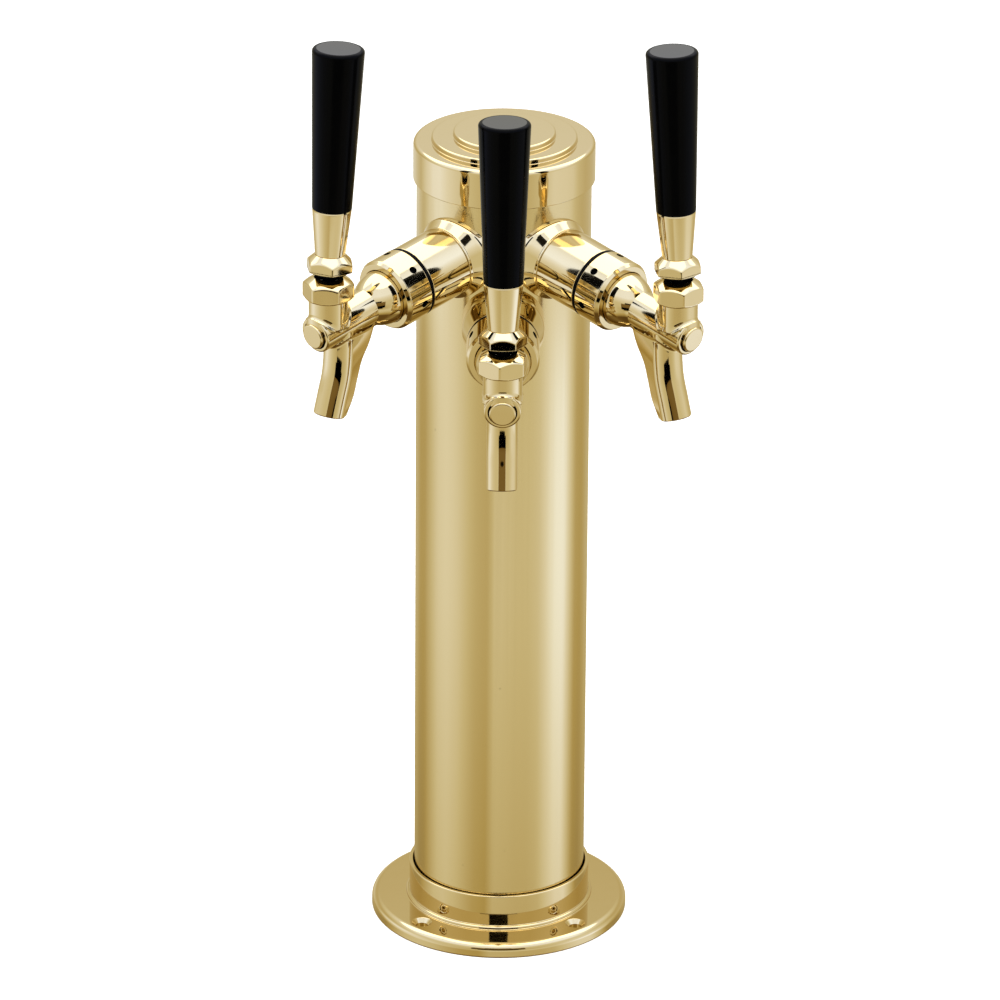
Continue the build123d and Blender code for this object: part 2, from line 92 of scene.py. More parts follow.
class TowerSizes(bpy.types.PropertyGroup):
    column_radius: length("Column radius", 38.1, "Outside radius of the column tube")
    column_wall: length("Column wall", 1.5, "Thickness of the column tube")
    column_foot: length("Column foot", 4.0, "Height of the column's lower end inside the hub")
    column_top: length("Column top", 366.5, "Height of the column tube's upper end")
    cap_radius: length("Cap radius", 39.6, "Outside radius of the cap's skirt")
    cap_bottom: length("Cap bottom", 351.0, "Height of the skirt's lower edge")
    cap_rim: length("Cap rim", 368.3, "Height of the cap's outer terrace")
    cap_step: length("Cap step", 2.2, "Height of each step on the cap")
    cap_wall: length("Cap wall", 1.6, "Thickness of the cap")
    cap_round: length("Cap round", 1.8, "Radius of the cap's rounded rim")
    step_round: length("Step round", 0.75, "Radius of the rounded edge of each step on the cap")
    cap_outer: length("Outer step radius", 31.6, "Radius of the cap's first step")
    cap_inner: length("Inner step radius", 22.2, "Radius of the cap's second step")
    flange_radius: length("Flange radius", 57.15, "Outside radius of the base flange")
    flange_thick: length("Flange thickness", 6.5, "Thickness of the base flange")
    flange_round: length("Flange round", 3.2, "Radius of the flange's rounded upper edge")
    bead: length("Bead", 1.4, "Height and width of the bead at the socket's foot")
    flange_opening: length("Line opening", 30.0, "Radius of the opening for the beer lines")
    hub_bore: length("Hub bore", 38.7, "Radius of the socket that takes the column")
    hub_radius: length("Hub radius", 40.3, "Outside radius of the socket")
    hub_top: length("Hub top", 22.3, "Height of the socket's rim")
    bolt_circle: length("Bolt circle", 48.5, "Radius of the circle of mounting holes")
    bolt_hole: length("Bolt hole", 2.75, "Radius of a mounting hole")
    bolt_sink: length("Countersink", 4.5, "Radius of a mounting hole's countersink")
    screw_radius: length("Set screw", 2.0, "Radius of a hub set screw")
    screw_level: length("Set screw level", 12.0, "Height of the hub set screws")


class ArmSizes(bpy.types.PropertyGroup):
    tilt: angle("Arm tilt", 9, "Drop of each arm below level")
    azimuth: angle("Side arm angle", 45, "Turn of a side arm away from the front")
    side_cross: length("Side crossing", 8.0, "Distance of the side arms' crossing before the column's axis")
    side_reach: length("Side reach", 72.6, "Level distance from the crossing to a side nut's face")
    side_level: length("Side level", 318.8, "Height of a side nut's face")
    front_reach: length("Front reach", 66.8, "Level distance from the column's axis to the front nut's face")
    front_level: length("Front level", 291.9, "Height of the front nut's face")
    nut_length: length("Nut length", 13.8, "Length of a coupling nut")
    nut_radius: length("Nut radius", 15.875, "Outside radius of a coupling nut")
    nut_mouth: length("Nut mouth", 12.2, "Radius of a coupling nut's front opening")
    nut_bore: length("Nut bore", 13.9, "Radius of a coupling nut's thread")
    nut_round: length("Nut round", 1.2, "Radius of a coupling nut's rounded front shoulder")
    spanner_hole: length("Spanner hole", 1.7, "Radius of a hole for the pin spanner")
    nut_turn: angle("Nut turn", 18.5, "Turn of the side arms' coupling nuts on their threads")
    spanner_back: length("Spanner hole place", 9.3, "Distance of the spanner holes behind the nut's face")
    gasket: length("Gasket", 1.7, "Thickness of the black gasket behind a coupling nut")
    gasket_radius: length("Gasket radius", 15.7, "Outside radius of a gasket")
    shank_bore: length("Shank clearance", 11.3, "Radius of the hole that a shank passes through")
    sleeve_radius: length("Sleeve radius", 15.6, "Outside radius of a side arm's sleeve")
    sleeve_length: length("Sleeve length", 21.9, "Length of a side arm's sleeve")
    flare: length("Saddle flare", 2.4, "Widening of a saddle towards the column")
    flare_length: length("Flare length", 9.0, "Length over which a saddle widens")


class FaucetSizes(bpy.types.PropertyGroup):
    barrel: length("Barrel radius", 8.0, "Outside radius of the barrel")
    barrel_front: length("Barrel front", 41.4, "Station of the barrel's front end")
    dome: length("Dome radius", 12.0, "Radius of the dome at the coupling nut")
    dome_length: length("Dome length", 11.0, "Length of the dome")
    tail: length("Tail radius", 13.5, "Radius of the tail inside the coupling nut")
    neck_station: length("Neck station", 33.2, "Station of the neck along the barrel")
    neck: length("Neck radius", 8.5, "Outside radius of the neck")
    neck_thread: length("Neck thread", 8.35, "Radius of the neck's thread under the bonnet")
    neck_top: length("Neck top", 17.8, "Height of the neck above the barrel's axis")
    spout: length("Spout radius", 6.75, "Outside radius of the spout")
    spout_bore: length("Spout bore", 4.7, "Radius of the spout's bore")
    bore_depth: length("Bore depth", 30.0, "Depth of the spout's bore from its tip")
    feed: length("Feed hole", 4.0, "Radius of the hole from the barrel's chamber to the spout's bore")
    chamber: length("Chamber", 6.6, "Radius of the chamber behind the seat")
    seat: length("Seat", 4.2, "Radius of the beer way through the seat")
    plunger_bore: length("Plunger bore", 5.0, "Radius of the bore that the plunger slides in")
    throat: length("Throat", 6.0, "Radius of the neck's bore under the bearing rings")
    ring_seat: length("Ring seat", 6.9, "Radius of the neck's bore that holds the bearing rings")
    spout_lean: angle("Spout lean", 25.3, "Forward lean of the spout's lower run, from square to the barrel")
    upper_lean: angle("Upper lean", 12.0, "Forward lean of the spout above its bend")
    bend: length("Bend", 20.35, "Distance of the spout's bend from its tip")
    tip_station: length("Tip station", 39.5, "Station of the spout's tip")
    tip_drop: length("Tip drop", 40.0, "Depth of the spout's tip below the barrel's axis")
    web: length("Web edge", 3.2, "Radius of the web's rear edge")
    fillet: length("Casting fillet", 1.6, "Radius of the casting's inner corners")
    plug: length("Plug radius", 5.7, "Radius of the button that closes the barrel")
    plug_round: length("Plug round", 0.8, "Radius of the button's rounded rim")
    groove: length("Groove", 0.6, "Width of the groove round the button")
    groove_depth: length("Groove depth", 1.0, "Depth of the groove round the button")
    plug_head: length("Plug head", 1.8, "Height of the button")
    plug_thread: length("Plug thread", 4.95, "Radius of the plug inside the barrel")
    plug_depth: length("Plug depth", 3.4, "Depth of the plug inside the barrel")
    bonnet_bottom: length("Bonnet bottom", 13.9, "Height of the bonnet's lower end above the barrel's axis")
    bonnet_top: length("Bonnet top", 23.8, "Height of the bonnet's upper end")
    bonnet_slope: angle("Bonnet slope", 33.0, "Slope of the bonnet's conical top")
    bonnet_across: length("Bonnet across flats", 19.6, "Width of the bonnet's hexagon")
    bonnet_hole: length("Bonnet hole", 6.0, "Radius of the opening for the lever")
    bonnet_roof: length("Bonnet roof", 20.7, "Height of the bonnet's inner roof")


class HandleSizes(bpy.types.PropertyGroup):
    pivot: length("Pivot height", 16.0, "Height of the lever's pivot above the barrel's axis")
    rest_lean: angle("Rest lean", 3.2, "Backward lean of a closed handle")
    washer_bottom: length("Washer bottom", 9.3, "Height of the black washer above the pivot")
    washer: length("Washer", 1.3, "Thickness of the black washer")
    washer_radius: length("Washer radius", 8.3, "Radius of the black washer")
    collar_across: length("Collar across flats", 18.5, "Width of the lever collar's hexagon")
    collar: length("Collar length", 7.2, "Length of the lever collar")
    cone: length("Collar cone", 3.8, "Drop of the collar's conical top out to its corners")
    cone_radius: length("Cone radius", 6.7, "Radius at the top of the collar's cone")
    ferrule: length("Ferrule length", 20.5, "Length of the brass ferrule")
    ferrule_foot: length("Ferrule foot", 6.5, "Radius of the ferrule at the collar")
    ferrule_top: length("Ferrule top", 8.45, "Radius of the ferrule at the handle")
    knob: length("Handle length", 71.4, "Length of the black handle")
    knob_foot: length("Handle foot", 8.55, "Radius of the handle at the ferrule")
    knob_top: length("Handle top", 11.3, "Radius of the handle at its top")
    knob_round: length("Handle round", 1.5, "Radius of the handle's rounded top edge")
    stud: length("Stud clearance", 4.75, "Radius of the holes that the lever's stud passes through")
    insert: length("Insert radius", 4.0, "Radius of the threaded insert in the handle")


class TowerFinish(bpy.types.PropertyGroup):
    brass: colour("Brass", "#D8C38D", "Colour of the polished brass")
    tube: colour("Tube brass", "#D6C189", "Colour of the buffed column tube")
    handle: colour("Handle", "#030303", "Colour of the black handles")
    # the same black is also painted shade: in the spanner holes, in the bonnets' mouths, in the grooves round
    # the plugs and on the levers
    rubber_and_painted_shade: colour("Seals", "#050505", "Colour of gaskets and rubber seals")
    bearing: colour("Bearings", "#C9C7BE", "Colour of the nylon bearing rings")
    steel: colour("Steel", "#B4B4B6", "Colour of the stainless inner pieces")
    chrome: colour("Chrome", "#D2D2D4", "Colour of the plated nuts in the column")
    floor: colour("Floor", "#F4F4F4", "Colour of the floor")


class StageSettings(bpy.types.PropertyGroup):
    elevation: angle("Camera elevation", 23.67, "Height of the camera above level")
    distance: FloatProperty(name="Camera distance", description="Distance from the camera to its aim",
                            default=3.6, unit="LENGTH")
    aim_height: length("Aim height", 197.8, "Height of the point that the camera looks at")
    aim_side: length("Aim side", -0.77, "Side shift of the point that the camera looks at")
    roll: angle("Camera roll", 0.435, "Turn of the camera about its own axis")
    lens: FloatProperty(name="Lens", description="Focal length in millimetres", default=293.4)
    tent_radius: FloatProperty(name="Tent radius", description="Radius of the light tent", default=1.0,
                               unit="LENGTH")
    tent_strength: FloatProperty(name="Tent strength", description="Brightness of the light tent",
                                 default=2.6)
    lamp_power: FloatProperty(name="Lamp power", description="Power of each soft lamp in watts", default=14.0)


# ---- places: a place is an origin and three axes, as rows ----


def inner_place(place, station, level, back):
    """A place inside another: moved along its X and Z, then leant back about its Y."""
    origin, axes = place
    x, y, z = axes
    across = np.cos(back) * x + np.sin(back) * z
    along = -np.sin(back) * x + np.cos(back) * z
    return origin + station * x + level * z, np.array([across, y, along])


def arm_place(side):
    """X runs out along the arm, Z is square to it and up, and the origin is the coupling nut's face."""
    arm = bpy.context.scene.arm_sizes
    turn = {"left": -arm.azimuth, "front": 0.0, "right": arm.azimuth}[side]
    cross, reach, level = (0.0, arm.front_reach, arm.front_level) if side == "front" else \
        (arm.side_cross, arm.side_reach, arm.side_level)
    ahead = np.array([np.sin(turn), -np.cos(turn), 0.0])
    up = np.array([0.0, 0.0, 1.0])
    x = ahead * np.cos(arm.tilt) - up * np.sin(arm.tilt)
    z = ahead * np.sin(arm.tilt) + up * np.cos(arm.tilt)
    return np.array([0.0, -cross, level]) + ahead * reach, np.array([x, np.cross(z, x), z])


def neck_place(side):
    """Z runs up the neck, plumb, from the barrel's axis."""
    faucet, arm = bpy.context.scene.faucet_sizes, bpy.context.scene.arm_sizes
    return inner_place(arm_place(side), faucet.neck_station, 0.0, arm.tilt)


def lever_place(side):
    """Z runs up the closed handle from the lever's pivot."""
    scene = bpy.context.scene
    faucet, arm, handle = scene.faucet_sizes, scene.arm_sizes, scene.handle_sizes
    station = faucet.neck_station - handle.pivot * np.sin(arm.tilt)
    return inner_place(arm_place(side), station, handle.pivot * np.cos(arm.tilt), arm.tilt + handle.rest_lean)


def put(points, place):
    """Points of a place's own frame, in the tower's frame."""
    origin, axes = place
    return origin + points @ axes


# ---- surfaces ----


def rounded(corners, steps=6, lead=0.00003):
    """A profile's corners (across, along, radius) with each radius turned into an arc: it starts and ends at
    radius / tan(half the corner) from the corner. A support point stands just before and after it, so that
    flats beside it shade flat."""
    corners = [tuple(corner) + (0.0,) * (3 - len(corner)) for corner in corners]
    count = len(corners)
    points = []
    for index, (across, along, radius) in enumerate(corners):
        here = np.array([across, along])
        if radius <= 0 or index in (0, count - 1):
            points.append(here)
            continue
        before = np.array(corners[index - 1][:2]) - here
        after = np.array(corners[index + 1][:2]) - here
        before, after = before / np.linalg.norm(before), after / np.linalg.norm(after)
        half = np.arccos(np.clip(before @ after, -1, 1)) / 2
        reach = radius / np.tan(half)
        middle = here + (before + after) / np.linalg.norm(before + after) * radius / np.sin(half)
        start, end = here + before * reach - middle, here + after * reach - middle
        sweep = np.arctan2(start[0] * end[1] - start[1] * end[0], start @ end)
        turn = np.linspace(0, sweep, steps + 1)[:, None]
        arc = middle + np.cos(turn) * start + np.sin(turn) * np.array([-start[1], start[0]])
        points.extend([here + before * (reach + lead), *arc, here + after * (reach + lead)])
    return np.array(points)


def turns(count):
    """Equal steps once round, in radians."""
    return np.arange(count) / count * FULL_TURN


def polar(radius, turn, height):
    """Points about Z: x = radius cos turn, y = radius sin turn, z = height."""
    return np.stack([radius * np.cos(turn), radius * np.sin(turn), height + 0 * turn], axis=-1)


def around(profile, count):
    """A profile of (radius, height) turned about Z."""
    return polar(profile[:, :1], turns(count), profile[:, 1:])


def wrapped(flat, radius):
    """Flat (turn, height) values wrapped on a cylinder about Z."""
    return polar(radius, flat[..., 0], flat[..., 1])


def laid(flat, level):
    """Flat (turn, radius) values laid out on a level plane."""
    return polar(flat[..., 1], flat[..., 0], level)


def along_x(points):
    """A surface turned about Z, laid over so that its Z runs along X."""
    return points[..., [2, 1, 0]] * np.array([1, 1, -1])


def resampled(profile, step):
    """The profile with its long runs divided, so that no run is longer than a step."""
    pieces = [profile[:1]]
    for start, end in zip(profile[:-1], profile[1:]):
        parts = max(1, int(np.ceil(np.linalg.norm(end - start) / step)))
        share = (np.arange(1, parts + 1) / parts)[:, None]
        pieces.append(start + (end - start) * share)
    return np.concatenate(pieces)


def hexagon_radius(across, turn, sharpness=70):
    """Distance to a hexagon's side by angle: half the width across, divided by the root of degree sharpness
    of the sum of |cos(turn - k 60 degrees)|^sharpness for k = 0, 1 and 2. The corners come out a little
    round."""
    sides = np.stack([np.abs(np.cos(turn - index * np.pi / 3)) ** sharpness for index in range(3)])
    return across / 2 * sides.sum(axis=0) ** (-1 / sharpness)


def hexagonal(profile, across, turned, count=180, sharpness=70, softness=60):
    """A turned profile cut to a hexagon: the radius is (profile^-softness + side^-softness)^(-1 / softness),
    worked out in shares of the width across. It leaves a small round where a chamfer meets a flat."""
    turn = turns(count)
    side = hexagon_radius(across, turn - turned, sharpness)
    cut = (np.maximum(profile[:, :1], 1e-9) ** -softness * across ** softness
           + side ** -softness * across ** softness) ** (-1 / softness) * across
    return polar(cut, turn, profile[:, 1:])


def quads(rows, columns, wrap_rows, wrap_columns):
    """Corner numbers of a grid's faces."""
    row = np.arange(rows if wrap_rows else rows - 1)[:, None]
    column = np.arange(columns if wrap_columns else columns - 1)[None, :]
    next_row, next_column = (row + 1) % rows, (column + 1) % columns
    corners = np.stack([row * columns + column, row * columns + next_column,
                        next_row * columns + next_column, next_row * columns + column], axis=-1)
    return corners.reshape(-1, 4)


def patch(grid, closed=False, round_about=True, finish=0):
    """One grid of a mesh. Its last row joins its first where the profile is closed, and its last column its
    first where it goes round about. Finish is the number of its material."""
    return grid, closed, round_about, finish


def grid_mesh(name, patches, sharp=32.0):
    """One closed mesh from patches. Borders that meet are merged, faces are turned outwards, and only edges
    over the sharp angle stay hard."""
    points, faces, numbers, start = [], [], [], 0
    for grid, wrap_rows, wrap_columns, number in patches:
        rows, columns = grid.shape[:2]
        corners = quads(rows, columns, wrap_rows, wrap_columns) + start
        points.append(grid.reshape(-1, 3))
        faces.append(corners)
        numbers.append(np.full(len(corners), number))
        start += rows * columns
    points, faces, numbers = np.concatenate(points), np.concatenate(faces), np.concatenate(numbers)
    mesh = bpy.data.meshes.new(name)
    mesh.vertices.add(len(points))
    mesh.vertices.foreach_set("co", points.astype(np.float32).ravel())
    mesh.loops.add(faces.size)
    mesh.loops.foreach_set("vertex_index", faces.astype(np.int32).ravel())
    mesh.polygons.add(len(faces))
    mesh.polygons.foreach_set("loop_start", np.arange(0, faces.size, 4, dtype=np.int32))
    mesh.polygons.foreach_set("material_index", numbers.astype(np.int32))
    mesh.update(calc_edges=True)
    form = bmesh.new()
    form.from_mesh(mesh)
    bmesh.ops.remove_doubles(form, verts=form.verts, dist=MERGED)
    bmesh.ops.recalc_face_normals(form, faces=form.faces)
    form.to_mesh(mesh)
    form.free()
    smooth(mesh, sharp)
    return mesh


def smooth(mesh, sharp):
    """Shades a mesh smooth, and keeps the edges over an angle in degrees hard."""
    mesh.polygons.foreach_set("use_smooth", np.ones(len(mesh.polygons), dtype=bool))
    mesh.set_sharp_from_angle(angle=np.radians(sharp))


def show(mesh, *nodes, finishes=("brass",), body="tower", slot="polished_brass"):
    """Puts a mesh in the scene as a piece that stands for CAD nodes and rides on their body."""
    for finish in finishes:
        mesh.materials.append(finish_of(finish))
    piece = bpy.data.objects.new(f"{nodes[0]}_skin", mesh)
    bpy.context.scene.collection.objects.link(piece)
    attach(piece, body)
    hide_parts(*nodes)


def skin(node_name, patches, **looks):
    """One mesh from patches, shown as the skin of a CAD node."""
    show(grid_mesh(f"{node_name}_skin", patches), node_name, **looks)


def copied(mesh, name, place):
    """A copy of a mesh, moved from its own frame to a place in the tower."""
    copy = mesh.copy()
    copy.name = name
    origin, axes = place
    turn = Matrix([list(row) for row in axes]).transposed()
    copy.transform(Matrix.Translation(Vector(origin)) @ turn.to_4x4())
    return copy


def show_copies(form, kind, place_of, **looks):
    """The same form shown at each arm's place."""
    for side in SIDES:
        node_name = f"{side}_{kind}"
        show(copied(form, f"{node_name}_skin", place_of(side)), node_name, **looks)


def holed_panel(centre, level, hole, band, half, across, rows, columns):
    """A panel with a round hole, in flat (turn, height) values: rows blend from the edge of its rectangle
    to the rim of the hole, closer together near the rim. The rectangle runs half a width either side of
    centre and over the band's heights; across is the length that one radian spans, so that the hole comes
    out round."""
    low, high = band
    side = np.linspace(-half, half, columns + 1)
    height = np.linspace(low, high, rows + 1)
    loop = np.concatenate([
        np.stack([side[:-1], np.full(columns, low)], -1),
        np.stack([np.full(rows, half), height[:-1]], -1),
        np.stack([side[:0:-1], np.full(columns, high)], -1),
        np.stack([np.full(rows, -half), height[:0:-1]], -1),
    ])
    middle = np.array([0.0, level])
    offset = (loop - middle) * [across, 1.0]
    ring = middle + offset / np.linalg.norm(offset, axis=1, keepdims=True) * hole / [across, 1.0]
    bunching = 1.6
    share = (1 - (1 - np.linspace(0, 1, rows)) ** bunching)[:, None, None]
    return loop * (1 - share) + ring * share + [centre, 0.0]


def between_holes(centres, half, band, rows, step):
    """The plain stretches of a band between its holes, as flat (turn, height) grids."""
    marks = sorted(centres % FULL_TURN)
    height = np.linspace(*band, rows + 1)
    for start, end in zip(marks, marks[1:] + [marks[0] + FULL_TURN]):
        columns = int(round((end - start - 2 * half) / step))
        turn = np.linspace(start + half, end - half, columns + 1)
        yield np.stack(np.meshgrid(turn, height), axis=-1)


# ---- materials ----


def node(tree, kind, links=None, stops=(), **settings):
    """Adds a shader node with its settings. Links feeds each input with a value, a node's first output or a
    (node, output) pair; stops holds a colour ramp's (place, linear colour or grey) pairs."""
    made = tree.nodes.new(kind)
    for key, value in settings.items():
        setattr(made, key, value)
    for key, value in (links or {}).items():
        if isinstance(value, bpy.types.Node):
            tree.links.new(value.outputs[0], made.inputs[key])
        elif isinstance(value, tuple) and isinstance(value[0], bpy.types.Node):
            tree.links.new(value[0].outputs[value[1]], made.inputs[key])
        else:
            made.inputs[key].default_value = value
    if stops:
        elements = made.color_ramp.elements
        while len(elements) < len(stops):
            elements.new(0.5)
        for element, (place, tone) in zip(elements, stops):
            element.position = place
        for element, (place, tone) in zip(sorted(elements, key=lambda one: one.position), stops):
            tone = (tone,) * 3 if isinstance(tone, (int, float)) else tuple(tone)
            element.color = tone + (1.0,)
    return made


def new_material(name):
    """A material without nodes, and its node tree."""
    material = bpy.data.materials.new(name)
    material.use_nodes = True
    material.node_tree.nodes.clear()
    return material, material.node_tree


def opaque(tone):
    """A colour with full cover, as a shader's input wants it."""
    return tuple(tone) + (1.0,)


def per_metre(millimetres):
    """The scale of a pattern whose marks are so many millimetres apart."""
    return 1000 / millimetres


def polished_brass():
    """Cast brass, buffed to a mirror: sharp reflections that wave a little, and fine wiping marks."""
    finish = bpy.context.scene.tower_finish
    material, tree = new_material("polished_brass")
    place = node(tree, "ShaderNodeTexCoord")
    # wiping marks show as patches about 11 mm wide; single scratches are too fine for the picture
    marks = node(tree, "ShaderNodeTexNoise", {"Vector": (place, "Object"), "Scale": per_metre(11.1111),
                                              "Detail": 4.0})
    rough = node(tree, "ShaderNodeMapRange", {"Value": marks, "From Min": 0.3, "From Max": 0.7,
                                              "To Min": 0.03, "To Max": 0.075})
    # the buffing wheel leaves waves about 8 mm long
    wave = node(tree, "ShaderNodeTexNoise", {"Vector": (place, "Object"), "Scale": per_metre(8.33333),
                                             "Detail": 1.0})
    bump = node(tree, "ShaderNodeBump", {"Height": wave, "Strength": 0.02, "Distance": 0.001})
    shader = node(tree, "ShaderNodeBsdfPrincipled", {"Base Color": opaque(finish.brass), "Metallic": 1.0,
                                                     "Roughness": rough, "Normal": bump})
    node(tree, "ShaderNodeOutputMaterial", {"Surface": shader})
    return material


def buffed_tube():
    """Drawn brass tube, buffed along its length: soft bands with thin upright streaks and a few dust
    specks."""
    finish = bpy.context.scene.tower_finish
    material, tree = new_material("buffed_brass_tube")
    place = node(tree, "ShaderNodeTexCoord")
    # real streaks are about 0.1 mm wide; these are 1.1 mm wide and 167 mm long, so that they show
    wide, long = per_metre(1.111111), per_metre(166.6667)
    stretch = node(tree, "ShaderNodeMapping", {"Vector": (place, "Object"), "Scale": (wide, wide, long)})
    streaks = node(tree, "ShaderNodeTexNoise", {"Vector": stretch, "Scale": 1.0, "Detail": 3.0})
    rough = node(tree, "ShaderNodeMapRange", {"Value": streaks, "From Min": 0.3, "From Max": 0.7,
                                              "To Min": 0.10, "To Max": 0.17})
    bump = node(tree, "ShaderNodeBump", {"Height": streaks, "Strength": 0.03, "Distance": 0.0002})
    # dust about 18 mm apart, each speck half a millimetre wide
    dust = node(tree, "ShaderNodeTexVoronoi", {"Vector": (place, "Object"), "Scale": per_metre(18.1818)})
    speck = node(tree, "ShaderNodeValToRGB", {"Fac": dust}, stops=[(0.0, 1.0), (0.012, 1.0), (0.028, 0.0)])
    dulled = [value * 0.72 for value in finish.tube]
    mixed = node(tree, "ShaderNodeMix", {"Factor": speck, 6: opaque(finish.tube), 7: opaque(dulled)},
                 data_type="RGBA")
    shader = node(tree, "ShaderNodeBsdfPrincipled", {"Base Color": (mixed, 2), "Metallic": 1.0,
                                                     "Roughness": rough, "Normal": bump})
    node(tree, "ShaderNodeOutputMaterial", {"Surface": shader})
    return material


def plain(name, tone, metallic, roughness, grain, spread, coat=0.0, coat_ior=1.5, specular=0.5):
    """A moulded or machined finish: one colour whose roughness varies with a grain, its width given in
    millimetres. The real grain is under a tenth of a millimetre wide; it is drawn wider, so that it shows."""
    material, tree = new_material(name)
    place = node(tree, "ShaderNodeTexCoord")
    noise = node(tree, "ShaderNodeTexNoise", {"Vector": (place, "Object"), "Scale": per_metre(grain),
                                              "Detail": 3.0})
    rough = node(tree, "ShaderNodeMapRange", {"Value": noise, "From Min": 0.3, "From Max": 0.7,
                                              "To Min": roughness - spread, "To Max": roughness + spread})
    shader = node(tree, "ShaderNodeBsdfPrincipled", {
        "Base Color": opaque(tone), "Metallic": metallic, "Roughness": rough, "Coat Weight": coat,
        "Coat Roughness": 0.08, "Coat IOR": coat_ior, "Specular IOR Level": specular})
    node(tree, "ShaderNodeOutputMaterial", {"Surface": shader})
    return material


FINISHES = {}


def finish_of(name):
    """The tower's materials, each made once."""
    if name not in FINISHES:
        finish = bpy.context.scene.tower_finish
        makers = {
            "brass": polished_brass,
            "tube": buffed_tube,
            # moulded phenolic, polished in the mould: a deep black that shows only strong lights
            "handle": partial(plain, "moulded_phenolic", finish.handle, 0.0, 0.18, 3.33333, 0.04,
                              specular=0.03),
            # the handle's flat top, which shows the pale backdrop
            "handle_top": partial(plain, "moulded_phenolic_top", finish.handle, 0.0, 0.2, 3.33333, 0.04,
                                  coat=1.0, coat_ior=1.6, specular=0.0),
            # nitrile rubber, matt, so it stays a dark line; the same black is painted shade in the spanner
            # holes, the bonnets' mouths and the grooves round the plugs
            "rubber_and_painted_shade": partial(plain, "nitrile_rubber_and_painted_shade", finish.rubber_and_painted_shade, 0.0, 0.6, 2.0, 0.1, specular=0.04),
            # turned nylon: milky and satin
            "bearing": partial(plain, "turned_nylon", finish.bearing, 0.0, 0.4, 2.5, 0.06),
            # turned stainless steel: grey with a soft shine
            "steel": partial(plain, "turned_stainless", finish.steel, 1.0, 0.28, 1.111111, 0.06),
            # steel lever painted black: painted shade for the gap between each collar and its bonnet
            "lever": partial(plain, "lever_steel_painted_shade", finish.rubber_and_painted_shade, 0.0, 0.4, 1.666667, 0.08, specular=0.1),
            # plated brass nuts, hidden in the column
            "chrome": partial(plain, "nickel_plate", finish.chrome, 1.0, 0.12, 5.0, 0.04),
        }
        FINISHES[name] = makers[name]()
    return FINISHES[name]


# ---- column, cap and base ----


class TOWER_OT_column(bpy.types.Operator):
    """Make the column tube and its stepped cap"""
    bl_idname = "tower.column"
    bl_label = "Column and cap"

    def execute(self, context):
        size = context.scene.tower_sizes
        start = 0.2  # a height on the tube's inner wall where its profile begins and ends
        inner, outer, foot, top = (size.column_radius - size.column_wall, size.column_radius,
                                   size.column_foot, size.column_top)
        tube = rounded([(inner, start), (inner, foot, CRISP), (outer, foot, CRISP), (outer, top, CRISP),
                        (inner, top, CRISP), (inner, start)], steps=3)
        skin("column_tube", [patch(around(tube[:-1], SEGMENTS), closed=True)], finishes=["tube"])

        bore, wall, edge = outer + CLEARANCE, size.cap_wall, size.step_round
        rim, bottom = size.cap_rim, size.cap_bottom
        first, second = rim + size.cap_step, rim + 2 * size.cap_step
        cap = rounded([
            (0.0, second - wall), (size.cap_inner - wall, second - wall),
            (size.cap_inner - wall, first - wall), (size.cap_outer - wall, first - wall),
            (size.cap_outer - wall, rim - wall), (bore, rim - wall),
            (bore, bottom, SHARP), (size.cap_radius, bottom, SOFT), (size.cap_radius, rim, size.cap_round),
            (size.cap_outer, rim, BROKEN), (size.cap_outer, first, edge), (size.cap_inner, first, BROKEN),
            (size.cap_inner, second, edge), (0.0, second),
        ], steps=8)
        skin("cap", [patch(around(cap, SEGMENTS))])
        return {"FINISHED"}


def bolt_hole(size, centre, *panel_sizes):
    """A countersunk bolt hole: the flange's top and bottom round it, and the wall between them. Each point of
    the wall stands off the hole's axis along the line to the point of the rim above it."""
    thick, circle, lip = size.flange_thick, size.bolt_circle, SOFT
    flat = holed_panel(centre, circle, size.bolt_sink + lip, *panel_sizes)
    top = laid(flat, thick)
    bottom = laid(holed_panel(centre, circle, size.bolt_hole, *panel_sizes), 0.0)
    spoke = (flat[-1] - [centre, circle]) * [circle, 1.0] / (size.bolt_sink + lip)
    drop = size.bolt_sink - size.bolt_hole
    down = rounded([(size.bolt_sink + 1.5 * lip, thick), (size.bolt_sink, thick, 0.7 * lip),
                    (size.bolt_hole, thick - drop, SHARP), (size.bolt_hole, 0.0)], steps=5)
    ahead = np.array([np.cos(centre), np.sin(centre)])
    side = np.array([-ahead[1], ahead[0]])
    outward = spoke[:, 1:] * ahead + spoke[:, :1] * side
    height = np.broadcast_to(down[:, None, 1:], (len(down), len(outward), 1))
    wall = np.concatenate([ahead * circle + down[:, None, :1] * outward, height], axis=-1)
    wall[0], wall[-1] = top[-1], bottom[-1]
    return [patch(top), patch(wall), patch(bottom)]


def screw_hole(size, centre, *panel_sizes):
    """A threaded hole in the hub: the hub's wall round it, and its rim drawn in along the screw's axis to the
    hub's bore."""
    edge, bend = CRISP, 0.00015
    panel = wrapped(holed_panel(centre, size.screw_level, size.screw_radius + edge, *panel_sizes),
                    size.hub_radius)
    ahead = np.array([np.cos(centre), np.sin(centre), 0.0])
    rim = panel[-1]
    middle = ahead * (rim @ ahead)[:, None] + [0, 0, size.screw_level]
    tight = middle + (rim - middle) * size.screw_radius / (size.screw_radius + edge)
    depth = tight @ ahead
    aside = (tight - ahead * depth[:, None])[:, :2]
    bore = np.sqrt(size.hub_bore ** 2 - np.sum(aside ** 2, axis=1))
    inside = tight - ahead * (depth - bore)[:, None]
    return [patch(panel), patch(np.stack([rim, tight - ahead * bend, inside]))]


